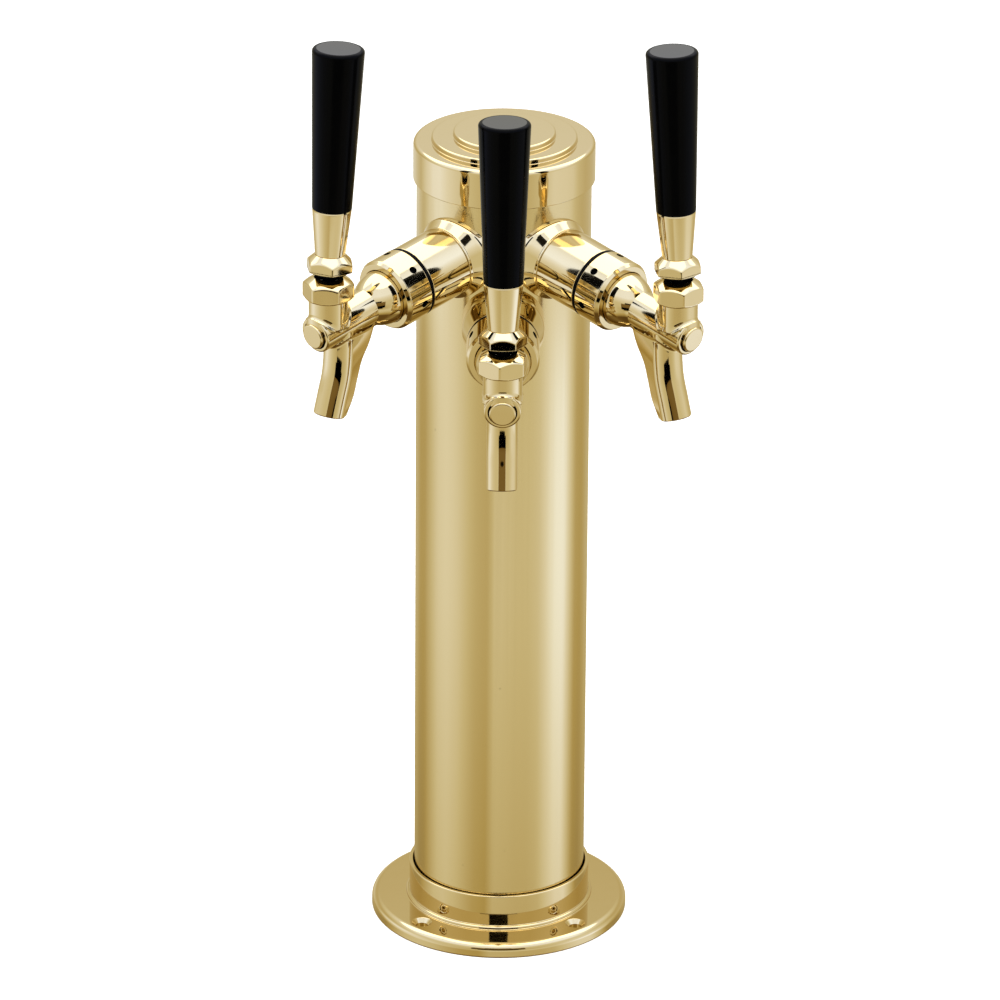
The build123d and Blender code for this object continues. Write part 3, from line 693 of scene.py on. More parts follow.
def set_screw_form(size):
    """A set screw along X: a cup-ended pin whose head holds a hexagon socket."""
    sunk, gap, chamfer, bevel = 0.0003, 0.00002, 0.0004, 0.0003
    head, tip = size.hub_radius - sunk, size.column_radius + gap
    shank, end = size.screw_radius - CLEARANCE, size.screw_radius - chamfer
    socket, depth, cone = 0.0010, 0.0009, 0.0002
    count = 60
    six = hexagon_radius(2 * socket, turns(count))
    pin = around(np.array([(0.0, tip), (end, tip), (shank, tip + chamfer), (shank, head - bevel),
                           (end, head)]), count)
    well = np.stack([
        polar(radius, turns(count), level)
        for radius, level in ((six, head), (six, head - depth), (0 * six, head - depth - cone))])
    return along_x(np.concatenate([pin, well]))


class TOWER_OT_base(bpy.types.Operator):
    """Make the base flange with its countersunk holes and its hub with set screws"""
    bl_idname = "tower.base"
    bl_label = "Base flange"

    def execute(self, context):
        size = context.scene.tower_sizes
        thick, hub, opening = size.flange_thick, size.hub_radius, size.flange_opening
        bolt_margin, screw_margin = 0.0051, 0.0033
        near, far = size.bolt_circle - bolt_margin, size.bolt_circle + bolt_margin
        low, high = size.screw_level - screw_margin, size.screw_level + screw_margin
        bead, foot_round, bead_round, rim_round = size.bead, 0.0008, 0.0011, 0.0005
        seam = size.column_foot / 2
        below = rounded([(opening, seam), (opening, 0.0, BROKEN), (near, 0.0)], steps=3)
        outside = rounded([(far, 0.0), (size.flange_radius, 0.0, foot_round),
                           (size.flange_radius, thick, size.flange_round), (far, thick)], steps=14)
        foot = rounded([(near, thick), (hub + bead, thick, BROKEN), (hub + bead, thick + bead, bead_round),
                        (hub, thick + bead, BROKEN), (hub, low)], steps=8)
        head = rounded([(hub, high), (hub, size.hub_top, rim_round), (size.hub_bore, size.hub_top, BROKEN),
                        (size.hub_bore, size.column_foot), (opening, size.column_foot, CRISP),
                        (opening, seam)], steps=5)
        patches = [patch(around(profile, SEGMENTS)) for profile in (below, outside, foot, head)]

        # the two bands that hold the holes
        step, rows, bolt_columns, screw_columns = FULL_TURN / SEGMENTS, 8, 14, 10
        bolt_half, screw_half = bolt_columns / 2 * step, screw_columns / 2 * step
        for flat in between_holes(BOLT_TURNS, bolt_half, (near, far), rows, step):
            patches += [patch(laid(flat, level), round_about=False) for level in (thick, 0.0)]
        for flat in between_holes(SCREW_TURNS, screw_half, (low, high), rows, step):
            patches.append(patch(wrapped(flat, hub), round_about=False))
        for centre in BOLT_TURNS:
            patches += bolt_hole(size, centre, (near, far), bolt_half, size.bolt_circle, rows, bolt_columns)
        for centre in SCREW_TURNS:
            patches += screw_hole(size, centre, (low, high), screw_half, hub, rows, screw_columns)
        skin("base_flange", patches)

        screw = set_screw_form(size)
        screws = []
        for centre in SCREW_TURNS:
            ahead, side = np.array([np.cos(centre), np.sin(centre), 0]), [-np.sin(centre), np.cos(centre), 0]
            place = (np.array([0, 0, size.screw_level]), np.array([ahead, side, [0, 0, 1]]))
            screws.append(patch(put(screw, place)))
        skin("hub_set_screws", screws, slot="steel")
        return {"FINISHED"}


# ---- arms ----


def to_column(place, turn, radius, column):
    """Station along an arm where a line beside its axis, at a turn and radius, meets the column's outside:
    the larger root of a s^2 + b s + c = 0, the squared distance from the column's axis less the squared
    radius."""
    origin, (x, y, z) = place
    start = origin + radius * (np.cos(turn)[:, None] * y + np.sin(turn)[:, None] * z)
    flat, run = start[:, :2], x[:2]
    a = run @ run
    b = 2 * (flat @ run)
    c = (flat ** 2).sum(axis=-1) - column ** 2
    return (-b + np.sqrt(b ** 2 - 4 * a * c)) / (2 * a)


def saddle_form(arm, place, front, column):
    """A saddle in its arm's frame: a collar that widens from the sleeve's radius towards the column. Each
    line of the collar is squeezed along the arm so that it ends on the column."""
    turn = turns(240)
    wide, back = arm.sleeve_radius + arm.flare, front - arm.flare_length
    straight, inward_round, outward_round, run_on = 0.0015, 0.003, 0.012, 0.004
    profile = rounded([(front, arm.shank_bore), (front, arm.sleeve_radius, SOFT),
                       (front - straight, arm.sleeve_radius, inward_round), (back, wide, outward_round),
                       (back - run_on, wide)], steps=8)
    end, bore = (to_column(place, turn, radius, column) for radius in (wide, arm.shank_bore))
    last = profile[-1, 0]
    share = np.clip((front - profile[:, :1]) / (front - last), 0, 1)
    station = np.where(end < last, profile[:, :1], front + (end - front) * share)
    station = np.concatenate([station, end[None], bore[None]])
    radius = np.concatenate([profile[:, 1:], [[wide], [arm.shank_bore]]])
    return np.stack([station, radius * np.cos(turn), radius * np.sin(turn)], axis=-1)


class TOWER_OT_arms(bpy.types.Operator):
    """Make the saddles, the side arms' sleeves and the black gaskets"""
    bl_idname = "tower.arms"
    bl_label = "Saddles, sleeves and gaskets"

    def execute(self, context):
        arm = context.scene.arm_sizes
        column = context.scene.tower_sizes.column_radius + CLEARANCE
        nut_back = -arm.nut_length
        shoulder = nut_back - arm.gasket
        back, back_round = shoulder - arm.sleeve_length, 0.0006
        sleeve = rounded([(arm.shank_bore, shoulder), (arm.sleeve_radius, shoulder, SOFT),
                          (arm.sleeve_radius, back, back_round), (arm.shank_bore, back, SHARP),
                          (arm.shank_bore, shoulder)], steps=5)
        gasket = rounded([(arm.nut_bore, shoulder), (arm.gasket_radius, shoulder, BROKEN),
                          (arm.gasket_radius, nut_back, BROKEN), (arm.nut_bore, nut_back),
                          (arm.nut_bore, shoulder)], steps=3)
        gaskets = []
        for side in SIDES:
            place = arm_place(side)
            front = shoulder if side == "front" else back
            skin(f"{side}_saddle", [patch(put(saddle_form(arm, place, front, column), place), closed=True)])
            if side != "front":
                skin(f"{side}_sleeve", [patch(put(along_x(around(sleeve[:-1], 240)), place), closed=True)])
            gaskets.append(patch(put(along_x(around(gasket[:-1], 120)), place), closed=True))
        skin("shank_gaskets", gaskets, finishes=["rubber_and_painted_shade"], slot="seal_rubber")
        return {"FINISHED"}


def nut_place(side):
    """A coupling nut's place: its axis lies along the arm, and its first spanner hole is turned from the
    top by the nut's turn, which is mirrored from left to right."""
    origin, (x, y, z) = arm_place(side)
    turn = {"left": 1, "front": 0, "right": -1}[side] * bpy.context.scene.arm_sizes.nut_turn
    across = np.cos(turn) * z - np.sin(turn) * y
    along = -np.sin(turn) * z - np.cos(turn) * y
    return origin, np.array([across, along, x])


class TOWER_OT_coupling_nuts(bpy.types.Operator):
    """Make the coupling nuts with their spanner holes"""
    bl_idname = "tower.coupling_nuts"
    bl_label = "Coupling nuts"

    def execute(self, context):
        arm = context.scene.arm_sizes
        count, rows, columns, margin = 180, 6, 10, 0.0027
        step = FULL_TURN / count
        half = columns / 2 * step
        centres = turns(6)
        low, high = -arm.spanner_back - margin, -arm.spanner_back + margin
        face, shoulder, recess = arm.nut_radius - 0.0011, -0.0016, -0.003
        back = rounded([(arm.nut_bore, recess), (arm.nut_bore, -arm.nut_length, CRISP),
                        (arm.nut_radius, -arm.nut_length, SOFT), (arm.nut_radius, low)], steps=4)
        nose = rounded([(arm.nut_radius, high), (arm.nut_radius, shoulder, arm.nut_round),
                        (face, 0.0, SOFT), (arm.nut_mouth, 0.0, BROKEN), (arm.nut_mouth, recess, SHARP),
                        (arm.nut_bore, recess)], steps=8)
        patches = [patch(around(back, count)), patch(around(nose, count))]
        for flat in between_holes(centres, half, (low, high), rows, step):
            patches.append(patch(wrapped(flat, arm.nut_radius), round_about=False))
        # each hole is brass at its rim; lower down, its wall and its floor are painted black, as painted
        # shade inside the hole
        bottom, bright = arm.nut_bore + 0.0002, 0.2
        for centre in centres:
            flat = holed_panel(centre, -arm.spanner_back, arm.spanner_hole, (low, high), half,
                               arm.nut_radius, rows, columns)
            panel = wrapped(flat, arm.nut_radius)
            rim = panel[-1]
            ahead = np.array([np.cos(centre), np.sin(centre), 0.0])
            floor = rim + ahead * (bottom - (rim @ ahead)[:, None])
            middle = np.broadcast_to(ahead * bottom + [0, 0, -arm.spanner_back], rim.shape)
            change = rim + (floor - rim) * bright
            patches += [patch(panel), patch(np.stack([rim, change])),
                        patch(np.stack([change, floor, middle]), finish=1)]
        nut = grid_mesh("coupling_nut_form", patches)
        show_copies(nut, "coupling_nut", nut_place, finishes=["brass", "rubber_and_painted_shade"])
        return {"FINISHED"}


# ---- faucets ----


def solid(name, grid):
    """A closed form on its own, to be joined with others."""
    form = bpy.data.objects.new(name, grid_mesh(name, [patch(grid)]))
    bpy.context.scene.collection.objects.link(form)
    return form


def join(base, others, operation):
    """Adds other forms to the base form or cuts them from it, and takes them out of the scene."""
    for other in others:
        step = base.modifiers.new(other.name, "BOOLEAN")
        step.operation, step.object, step.solver = operation, other, "EXACT"
    mesh = bpy.data.meshes.new_from_object(base.evaluated_get(bpy.context.evaluated_depsgraph_get()))
    base.modifiers.clear()
    base.data = mesh
    for other in others:
        bpy.data.objects.remove(other)


def fillet(distance, radius):
    """How far a round corner stands out at a distance from the face it meets: r - sqrt(r^2 - (r - d)^2)."""
    near = np.clip(radius - distance, 0, radius * 0.985)
    return radius - np.sqrt(radius ** 2 - near ** 2)


def dome_arc(faucet):
    """The dome's outline as (station, radius): an arc through its start, its bulged middle and its end. The
    middle's height comes from a circle that is level at the start, of radius (length^2 + fall^2) / (2 fall).
    The arc's centre is as far from all three points, which gives two straight-line equations."""
    middle = faucet.dome_length / 2
    fall = faucet.dome - faucet.barrel
    bulge = (faucet.dome_length ** 2 + fall ** 2) / (2 * fall)
    rise = faucet.dome - bulge + np.sqrt(bulge ** 2 - middle ** 2)
    p, q, r = np.array([(0.0, faucet.dome), (middle, rise), (faucet.dome_length, faucet.barrel)])
    centre = np.linalg.solve(2 * np.array([q - p, r - p]), np.array([q @ q - p @ p, r @ r - p @ p]))
    first, last = (np.arctan2(*(point - centre)[::-1]) for point in (p, r))
    turn = np.linspace(first, last, 28)
    return centre + np.linalg.norm(p - centre) * np.stack([np.cos(turn), np.sin(turn)], axis=-1)


def barrel_form(faucet):
    """The barrel: a tail hidden in the nut, the dome, and a straight run to a rounded end whose face has the
    groove round the plug."""
    end, floor = faucet.barrel_front, faucet.barrel_front - faucet.groove_depth
    rim, tail_end, tail_start = faucet.plug + faucet.groove, -0.007, -0.0031
    start, front_round, lip = faucet.dome_length + 0.0002, 0.0009, 0.00012
    front = rounded([(start, faucet.barrel), (end, faucet.barrel, front_round), (end, rim, lip),
                     (floor, rim), (floor, faucet.plug), (end, faucet.plug), (end, 0.0)], steps=6)
    back = np.array([(tail_end, 0.0), (tail_end, faucet.tail), (tail_start, faucet.tail),
                     (tail_start, faucet.dome)])
    profile = np.concatenate([back, dome_arc(faucet), resampled(front, 0.004)])
    return along_x(around(profile[:, ::-1], 200))


def neck_form(faucet, tilt):
    """The upright neck: a cylinder whose foot flares into the barrel, with a narrower thread on top. The
    flare is the fillet for the distance from the barrel, found again three times as the neck widens."""
    flare_foot, flare_top, foot, shoulder, count = 0.002, 0.013, -0.004, 0.0139, 200
    rows = np.concatenate([np.linspace(flare_foot, flare_top, 56), [0.0135, 0.0138]])
    turn = turns(count)
    height = rows[:, None] + 0 * turn
    radius = np.full_like(height, faucet.neck)
    for _ in range(3):
        drop = height * np.cos(tilt) + radius * np.cos(turn) * np.sin(tilt)
        distance = np.hypot(radius * np.sin(turn), drop) - faucet.barrel
        radius = faucet.neck + fillet(distance, faucet.fillet)
    below = around(np.array([(0.0, foot), (faucet.barrel - 0.002, foot)]), count)
    thread = rounded([(faucet.neck, shoulder), (faucet.neck_thread, shoulder),
                      (faucet.neck_thread, faucet.neck_top), (0.0, faucet.neck_top)])
    return np.concatenate([below, polar(radius, turn, height), around(thread, count)])


# The spout in sections from its tip up, in millimetres and degrees: distance from the tip, reach of the web's
# rear edge behind the spout's axis, and the edge's slant.
SPOUT_SECTIONS = ((0.0, 6.2, 25.3), (8.85, 8.2, 25.3), (17.7, 8.4, 25.3), (24.55, 9.8, 20.8),
                  (31.7, 13.7, 18.2), (40.2, 17.7, 4.2))


def eased(places, values, at):
    """A smooth curve through values at places: cubic runs h00 a + h10 m + h01 b + h11 n between neighbours a
    and b, with slopes m and n from the values on either side."""
    slopes = np.gradient(values, places, axis=0)
    index = np.clip(np.searchsorted(places, at, side="right") - 1, 0, len(places) - 2)
    run = places[index + 1] - places[index]
    t = (at - places[index]) / run
    shape = (-1,) + (1,) * (values.ndim - 1)
    t, run = t.reshape(shape), run.reshape(shape)
    return ((2 * t ** 3 - 3 * t ** 2 + 1) * values[index] + (t ** 3 - 2 * t ** 2 + t) * run * slopes[index]
            + (3 * t ** 2 - 2 * t ** 3) * values[index + 1] + (t ** 3 - t ** 2) * run * slopes[index + 1])


def teardrop(wide, thin, reach):
    """A round with a thinner round behind it, joined by the lines that touch both, and the outline's normals.
    The lines stand at the angle whose cosine is (wide - thin) / reach. One row for each reach."""
    lean = np.arccos((wide - thin) / reach)[:, None]
    big = lean + (FULL_TURN - 2 * lean) * np.linspace(0, 1, 81)
    small = lean * np.linspace(-1, 1, 31)
    line = np.linspace(0, 1, 22)[1:-1]

    def unit(turn):
        """Points on a round of radius 1."""
        return np.stack([np.cos(turn), np.sin(turn)], axis=-1)

    reach = np.stack([reach, 0 * reach], axis=-1)[:, None, :]
    low, high = unit(-lean), unit(lean)
    share = line[None, :, None]
    outline = np.concatenate([
        wide * unit(big), low * wide + (reach + low * (thin - wide)) * share, reach + thin * unit(small),
        reach + high * thin + (high * (wide - thin) - reach) * share], axis=1)
    normal = np.concatenate([unit(big), low + 0 * share, unit(small), high + 0 * share], axis=1)
    return outline, normal


def tip_place(faucet):
    """The spout's tip and axes: Z runs up the spout, which leans back."""
    lean = faucet.spout_lean
    return (np.array([faucet.tip_station, 0, -faucet.tip_drop]),
            np.array([[np.cos(lean), 0, np.sin(lean)], [0, 1, 0], [-np.sin(lean), 0, np.cos(lean)]]))


def spout_form(faucet):
    """The spout with its web: teardrop sections up an axis that bends, flared where they meet the barrel.
    Each point is pushed along its section's normal by the fillet for its distance from the barrel."""
    table = np.array(SPOUT_SECTIONS)
    places, reaches, slants = table[:, 0] / 1000, table[:, 1] / 1000, np.radians(table[:, 2])
    straight = np.minimum(places, faucet.bend)[:, None]
    tip, axes = tip_place(faucet)
    way, bent = axes[2], np.array([-np.sin(faucet.upper_lean), 0, np.cos(faucet.upper_lean)])
    centres = tip + way * straight + bent * (places[:, None] - straight)
    up = np.linspace(0, places[-1], 120)
    centre, reach, slant = eased(places, centres, up), eased(places, reaches, up), eased(places, slants, up)
    back = np.stack([-np.cos(slant), 0 * slant, -np.sin(slant)], axis=-1)[:, None, :]
    outline, normal = teardrop(faucet.spout, faucet.web, reach)
    side = axes[1]
    points = centre[:, None, :] + outline[..., :1] * back + outline[..., 1:] * side
    outward = normal[..., :1] * back + normal[..., 1:] * side
    arc = dome_arc(faucet)
    barrel = np.interp(points[..., 0], arc[:, 0], arc[:, 1])
    distance = np.hypot(points[..., 1], points[..., 2]) - barrel
    distance = np.where(points[..., 2] > 0, 0, distance)
    points = points + outward * fillet(distance, faucet.fillet)[..., None]
    # a broken edge at the tip, then a lid at each end
    edge = 0.0004
    points[0] -= outward[0] * edge
    lip = points[:1] + outward[:1] * edge + way * edge
    first = np.broadcast_to(tip, lip.shape)
    last = np.broadcast_to(centre[-1], lip.shape)
    return np.concatenate([first, points[:1], lip, points[2:], last])


def hollow_forms(faucet, neck):
    """What is cut from a faucet's body: the barrel's chamber, seat and plunger bore, the neck's throat and
    ring seat, and the spout's way with the smaller hole that feeds it."""
    mouth, seat, seat_end, slope_end, bore_end = -0.008, 0.0035, 0.007, 0.008, 0.0424
    chamber = [(0.0, mouth), (faucet.chamber, mouth), (faucet.chamber, seat), (faucet.seat, seat),
               (faucet.seat, seat_end), (faucet.plunger_bore, slope_end), (faucet.plunger_bore, bore_end),
               (0.0, bore_end)]
    ledge, top = 0.0115, 0.0188
    throat = [(0.0, 0.0), (faucet.throat, 0.0), (faucet.throat, ledge), (faucet.ring_seat, ledge),
              (faucet.ring_seat, top), (0.0, top)]
    below, deep = -0.001, faucet.tip_drop / np.cos(faucet.spout_lean)
    way = [(0.0, below), (faucet.spout_bore, below), (faucet.spout_bore, faucet.bore_depth),
           (faucet.feed, faucet.bore_depth), (faucet.feed, deep), (0.0, deep)]
    chamber, throat, way = (around(np.array(profile), 96) for profile in (chamber, throat, way))
    return [solid("chamber_form", along_x(chamber)), solid("throat_form", put(throat, neck)),
            solid("way_form", put(way, tip_place(faucet)))]


class TOWER_OT_faucets(bpy.types.Operator):
    """Make the cast faucet bodies: barrel, neck, spout and web"""
    bl_idname = "tower.faucets"
    bl_label = "Faucet bodies"

    def execute(self, context):
        arm, faucet = context.scene.arm_sizes, context.scene.faucet_sizes
        neck = inner_place((np.zeros(3), np.eye(3)), faucet.neck_station, 0.0, arm.tilt)
        body = solid("barrel_form", barrel_form(faucet))
        join(body, [solid("neck_form", put(neck_form(faucet, arm.tilt), neck)),
                    solid("spout_form", spout_form(faucet))], "UNION")
        join(body, hollow_forms(faucet, neck), "DIFFERENCE")
        mesh = body.data
        bpy.data.objects.remove(body)
        smooth(mesh, 30)
        mesh.materials.clear()
        show_copies(mesh, "faucet_body", arm_place)
        return {"FINISHED"}


class TOWER_OT_plugs(bpy.types.Operator):
    """Make the button-like plugs that close the barrels"""
    bl_idname = "tower.plugs"
    bl_label = "End plugs"

    def execute(self, context):
        faucet = context.scene.faucet_sizes
        front, radius = faucet.barrel_front, faucet.plug
        inner, face = front - faucet.plug_depth, front + faucet.plug_head
        profile = rounded([(0.0, inner), (faucet.plug_thread, inner), (faucet.plug_thread, front),
                           (radius, front), (radius, face, faucet.plug_round), (0.0, face)], steps=8)
        # a black ring in the groove round the plug: painted shade that darkens the groove
        gap, sunk = 0.00003, 0.00025
        near, far = radius + gap, radius + faucet.groove - gap
        low, high = front - faucet.groove_depth + gap, front - sunk
        ring = np.array([(near, low), (near, high), (far, high), (far, low)])
        plug = grid_mesh("end_plug_form", [patch(along_x(around(profile, 120))),
                                           patch(along_x(around(ring, 120)), closed=True, finish=1)])
        show_copies(plug, "end_plug", arm_place, finishes=["brass", "rubber_and_painted_shade"])
        return {"FINISHED"}


class TOWER_OT_bonnets(bpy.types.Operator):
    """Make the hexagonal bonnets on the necks"""
    bl_idname = "tower.bonnets"
    bl_label = "Bonnets"

    def execute(self, context):
        faucet = context.scene.faucet_sizes
        top, bottom, roof = faucet.bonnet_top, faucet.bonnet_bottom, faucet.bonnet_roof
        hole, bore = faucet.bonnet_hole, faucet.neck_thread + CLEARANCE
        reach = faucet.bonnet_across / np.sqrt(3) + OVERRUN
        rise = 0.0028  # of the lower chamfer, out to where its profile ends
        land, inset, taper = 0.0003, 0.0002, 0.0007
        foot, start = faucet.bonnet_across / 2 - inset, hole + land
        fall = np.tan(faucet.bonnet_slope) * (reach - start)
        profile = rounded([(bore, bottom), (foot, bottom, SHARP), (reach, bottom + rise),
                           (reach, top - fall), (start, top, SHARP), (hole, top)], steps=5)
        profile = resampled(profile, 0.0005)
        # the bonnet's inner wall, down from the opening round the lever, is painted black: painted shade in
        # that opening
        painted_shade_lining = around(rounded([(hole, top), (hole - taper, roof), (bore, roof), (bore, bottom)]), 180)
        for side in SIDES:
            place = neck_place(side)
            form = hexagonal(profile, faucet.bonnet_across, np.radians(BONNET_TURNS[side]))
            skin(f"{side}_bonnet", [patch(put(form, place)), patch(put(painted_shade_lining, place), finish=1)],
                 finishes=["brass", "rubber_and_painted_shade"])
        return {"FINISHED"}


class TOWER_OT_collars(bpy.types.Operator):
    """Make the lever collars and the black washers under them"""
    bl_idname = "tower.collars"
    bl_label = "Lever collars and washers"

    def execute(self, context):
        handle = context.scene.handle_sizes
        bottom = handle.washer_bottom + handle.washer
        top = bottom + handle.collar
        bore, cone = handle.stud, handle.cone_radius
        corner = handle.collar_across / np.sqrt(3) + 0.0001
        reach = corner + OVERRUN
        rise, inset = 0.001, 0.0002
        foot = handle.collar_across / 2 - inset
        fall = handle.cone / (corner - cone) * (reach - cone)
        profile = rounded([(bore, bottom), (foot, bottom, SHARP), (reach, bottom + rise),
                           (reach, top - fall), (cone, top, SHARP), (bore, top), (bore, bottom)], steps=5)
        profile = resampled(profile[:-1], 0.0005)
        low, wide, dish, dish_width = handle.washer_bottom, handle.washer_radius, 0.0005, 0.0012
        ring = rounded([(bore, low), (wide - dish_width, low, SOFT), (wide, low + dish, CRISP),
                        (wide, bottom, CRISP), (bore, bottom), (bore, low)], steps=3)
        for side in SIDES:
            place = lever_place(side)
            form = hexagonal(profile, handle.collar_across, np.radians(COLLAR_TURNS[side]))
            skin(f"{side}_lever_collar", [patch(put(form, place), closed=True)], body=f"{side}_lever")
            skin(f"{side}_collar_washer", [patch(put(around(ring[:-1], 96), place), closed=True)],
                 finishes=["rubber_and_painted_shade"], body=f"{side}_lever", slot="black_plastic")
        return {"FINISHED"}


class TOWER_OT_handles(bpy.types.Operator):
    """Make the ferrules and the black handles"""
    bl_idname = "tower.handles"
    bl_label = "Ferrules and handles"

    def execute(self, context):
        handle = context.scene.handle_sizes
        foot = handle.washer_bottom + handle.washer + handle.collar
        seam = foot + handle.ferrule
        top = seam + handle.knob
        socket, insert_end, well = foot + 0.0145, seam + 0.0115, seam + 0.012
        stud, insert, bore = handle.stud, handle.insert, handle.insert + CLEARANCE
        bevel, bevel_width = 0.0006, 0.0002
        ferrule = rounded([(0.0, socket), (stud, socket), (stud, foot), (handle.ferrule_foot, foot, BROKEN),
                           (handle.ferrule_top, seam - bevel, BROKEN),
                           (handle.ferrule_top - bevel_width, seam, SHARP), (insert, seam),
                           (insert, insert_end), (0.0, insert_end)], steps=5)
        # the lid starts inside the rounded edge, a hair above its middle
        lid_inset, dip = 0.0019, 0.00002
        lid_edge = (handle.knob_top - lid_inset, top + dip)
        knob = rounded([(0.0, well), (bore, well), (bore, seam), (handle.knob_foot, seam, SOFT),
                        (handle.knob_top, top, handle.knob_round), lid_edge], steps=10)
        lid = rounded([lid_edge, (0.0, top)])
        for side in SIDES:
            place = lever_place(side)
            forms = [patch(put(around(form, 160), place), finish=finish)
                     for form, finish in ((ferrule, 0), (knob, 0), (lid, 1))]
            skin(f"{side}_ferrule", forms[:1], body=f"{side}_lever")
            skin(f"{side}_knob", forms[1:], finishes=["handle", "handle_top"], body=f"{side}_lever",
                 slot="black_plastic")
        return {"FINISHED"}


class TOWER_OT_inner_parts(bpy.types.Operator):
    """Give the inner pieces, which stay as they are, their finishes"""
    bl_idname = "tower.inner_parts"
    bl_label = "Inner pieces"

    def execute(self, context):
        wear = {"coupling_washers": "rubber_and_painted_shade", "ball_washers": "bearing", "friction_washers": "bearing",
                "backing_washers": "bearing", "shank_hex_nuts": "chrome"}
        for side in SIDES:
            # the levers take the black painted shade
            wear.update({f"{side}_lever": "lever", f"{side}_plunger": "steel", f"{side}_seat_washer": "rubber_and_painted_shade",
                         f"{side}_plunger_nut": "steel", f"{side}_shank": "brass",
                         f"{side}_tailpiece": "steel"})
        for name, finish in wear.items():
            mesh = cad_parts[name].data
            mesh.materials.clear()
            mesh.materials.append(finish_of(finish))
        return {"FINISHED"}


# ---- stage ----

# Brightness of the tent round the tower at three heights, as (degrees, brightness). The tower's front is at 0
# and its right side at 90.
TENT_LOW = ((-180, 0.42), (-150, 0.46), (-137, 0.42), (-122, 0.44), (-108, 0.58), (-92, 0.74), (-76, 0.78),
            (-60, 0.72), (-46, 0.62), (-34, 0.54), (-18, 0.50), (-8, 0.66), (8, 0.64), (22, 0.62),
            (36, 0.62), (50, 0.66), (62, 0.80), (76, 0.94), (90, 0.96), (101, 0.72), (114, 0.46),
            (130, 0.42), (148, 0.46), (180, 0.42))
TENT_MIDDLE = ((-180, 0.50), (-153, 0.60), (-129, 0.52), (-113, 0.72), (-100, 0.84), (-88, 0.86), (-78, 0.80),
               (-64, 0.71), (-50, 0.63), (-34, 0.56), (-16, 0.49), (0, 0.48), (16, 0.49), (34, 0.54),
               (47, 0.60), (65, 0.74), (85, 0.72), (96, 0.69), (108, 0.57), (123, 0.50), (180, 0.50))
TENT_HIGH = ((-180, 0.48), (-120, 0.48), (-80, 0.68), (-40, 0.60), (0, 0.62), (40, 0.60), (80, 0.70),
             (120, 0.48), (180, 0.48))

# What stands before the tower and shows dark in the brass: half its width in radians, its height and half its
# height in metres, and its darkness.
DARK_PATCHES = ((0.205, 0.492, 0.045, 1.0), (0.30, 0.022, 0.038, 1.0), (0.40, 0.125, 0.08, 1.0),
                (0.40, 0.33, 0.125, 0.62))

# The light that the tent gives at each brightness, before the tent's strength: dim cloth is warm and bright
# cloth is cool.
TENT_LIGHT = ((0.0, (0.0, 0.0, 0.0)), (0.2, (0.18, 0.11, 0.035)), (0.42, (0.60, 0.50, 0.25)),
              (0.60, (0.84, 0.82, 0.72)), (0.78, (1.06, 1.12, 1.38)), (1.0, (1.36, 1.6, 2.6)))
LAMP_LIGHT = (1.5, 1.5, 1.62)


def brightness_by_turn_and_height(tree, x, y, z):
    """The tent's brightness: three bands round the tower that blend into one another by height, lifted
    towards the top and sunk towards the floor. Also gives the turn about the tower, 0 in front of it."""
    back = node(tree, "ShaderNodeMath", {0: y, 1: -1.0}, operation="MULTIPLY")
    turn = node(tree, "ShaderNodeMath", {0: x, 1: back}, operation="ARCTAN2")
    share = node(tree, "ShaderNodeMath", {0: turn, 1: 1 / FULL_TURN, 2: 0.5}, operation="MULTIPLY_ADD")
    low, middle, high = (
        node(tree, "ShaderNodeValToRGB", {"Fac": share}, stops=[(0.5 + at / 360, tone) for at, tone in band])
        for band in (TENT_LOW, TENT_MIDDLE, TENT_HIGH))
    tone = (low, 0)
    for start, end, other in ((-0.17, -0.05, middle), (0.04, 0.35, high)):
        rise = node(tree, "ShaderNodeMapRange", {"Value": z, "From Min": start, "From Max": end},
                    interpolation_type="SMOOTHSTEP")
        tone = (node(tree, "ShaderNodeMix", {"Factor": rise, 6: tone, 7: other}, data_type="RGBA"), 2)
    lift = node(tree, "ShaderNodeMapRange", {"Value": z, "From Min": 0.45, "From Max": 0.95, "To Min": 0.0,
                                             "To Max": 0.28})
    tone = node(tree, "ShaderNodeMath", {0: tone, 1: lift}, operation="ADD")
    sink = node(tree, "ShaderNodeMapRange", {"Value": z, "From Min": -1.0, "From Max": -0.27, "To Min": 0.30,
                                             "To Max": 1.0})
    return node(tree, "ShaderNodeMath", {0: tone, 1: sink}, operation="MULTIPLY"), turn


def lamp_opening(tree, x, y, z):
    """1 where the lamp comes through the tent: a round opening over the tower, and the cloth high up behind
    it, which the rounded edges of the cap and flange reflect."""
    radius, roof_height = 0.7, 1.5
    squares = [node(tree, "ShaderNodeMath", {0: value, 1: value}, operation="MULTIPLY") for value in (x, y)]
    total = node(tree, "ShaderNodeMath", {0: squares[0], 1: squares[1]}, operation="ADD")
    off_axis = node(tree, "ShaderNodeMath", {0: total}, operation="SQRT")
    near = node(tree, "ShaderNodeMath", {0: off_axis, 1: radius}, operation="LESS_THAN")
    over = node(tree, "ShaderNodeMath", {0: z, 1: roof_height}, operation="GREATER_THAN")
    roof = node(tree, "ShaderNodeMath", {0: near, 1: over}, operation="MULTIPLY")
    above, behind = (
        node(tree, "ShaderNodeMapRange", {"Value": value, "From Min": start, "From Max": end},
             interpolation_type="SMOOTHSTEP")
        for value, start, end in ((z, 0.94, 1.06), (y, 0.1, 0.4)))
    rear = node(tree, "ShaderNodeMath", {0: above, 1: behind}, operation="MULTIPLY")
    return node(tree, "ShaderNodeMath", {0: roof, 1: rear}, operation="MAXIMUM")


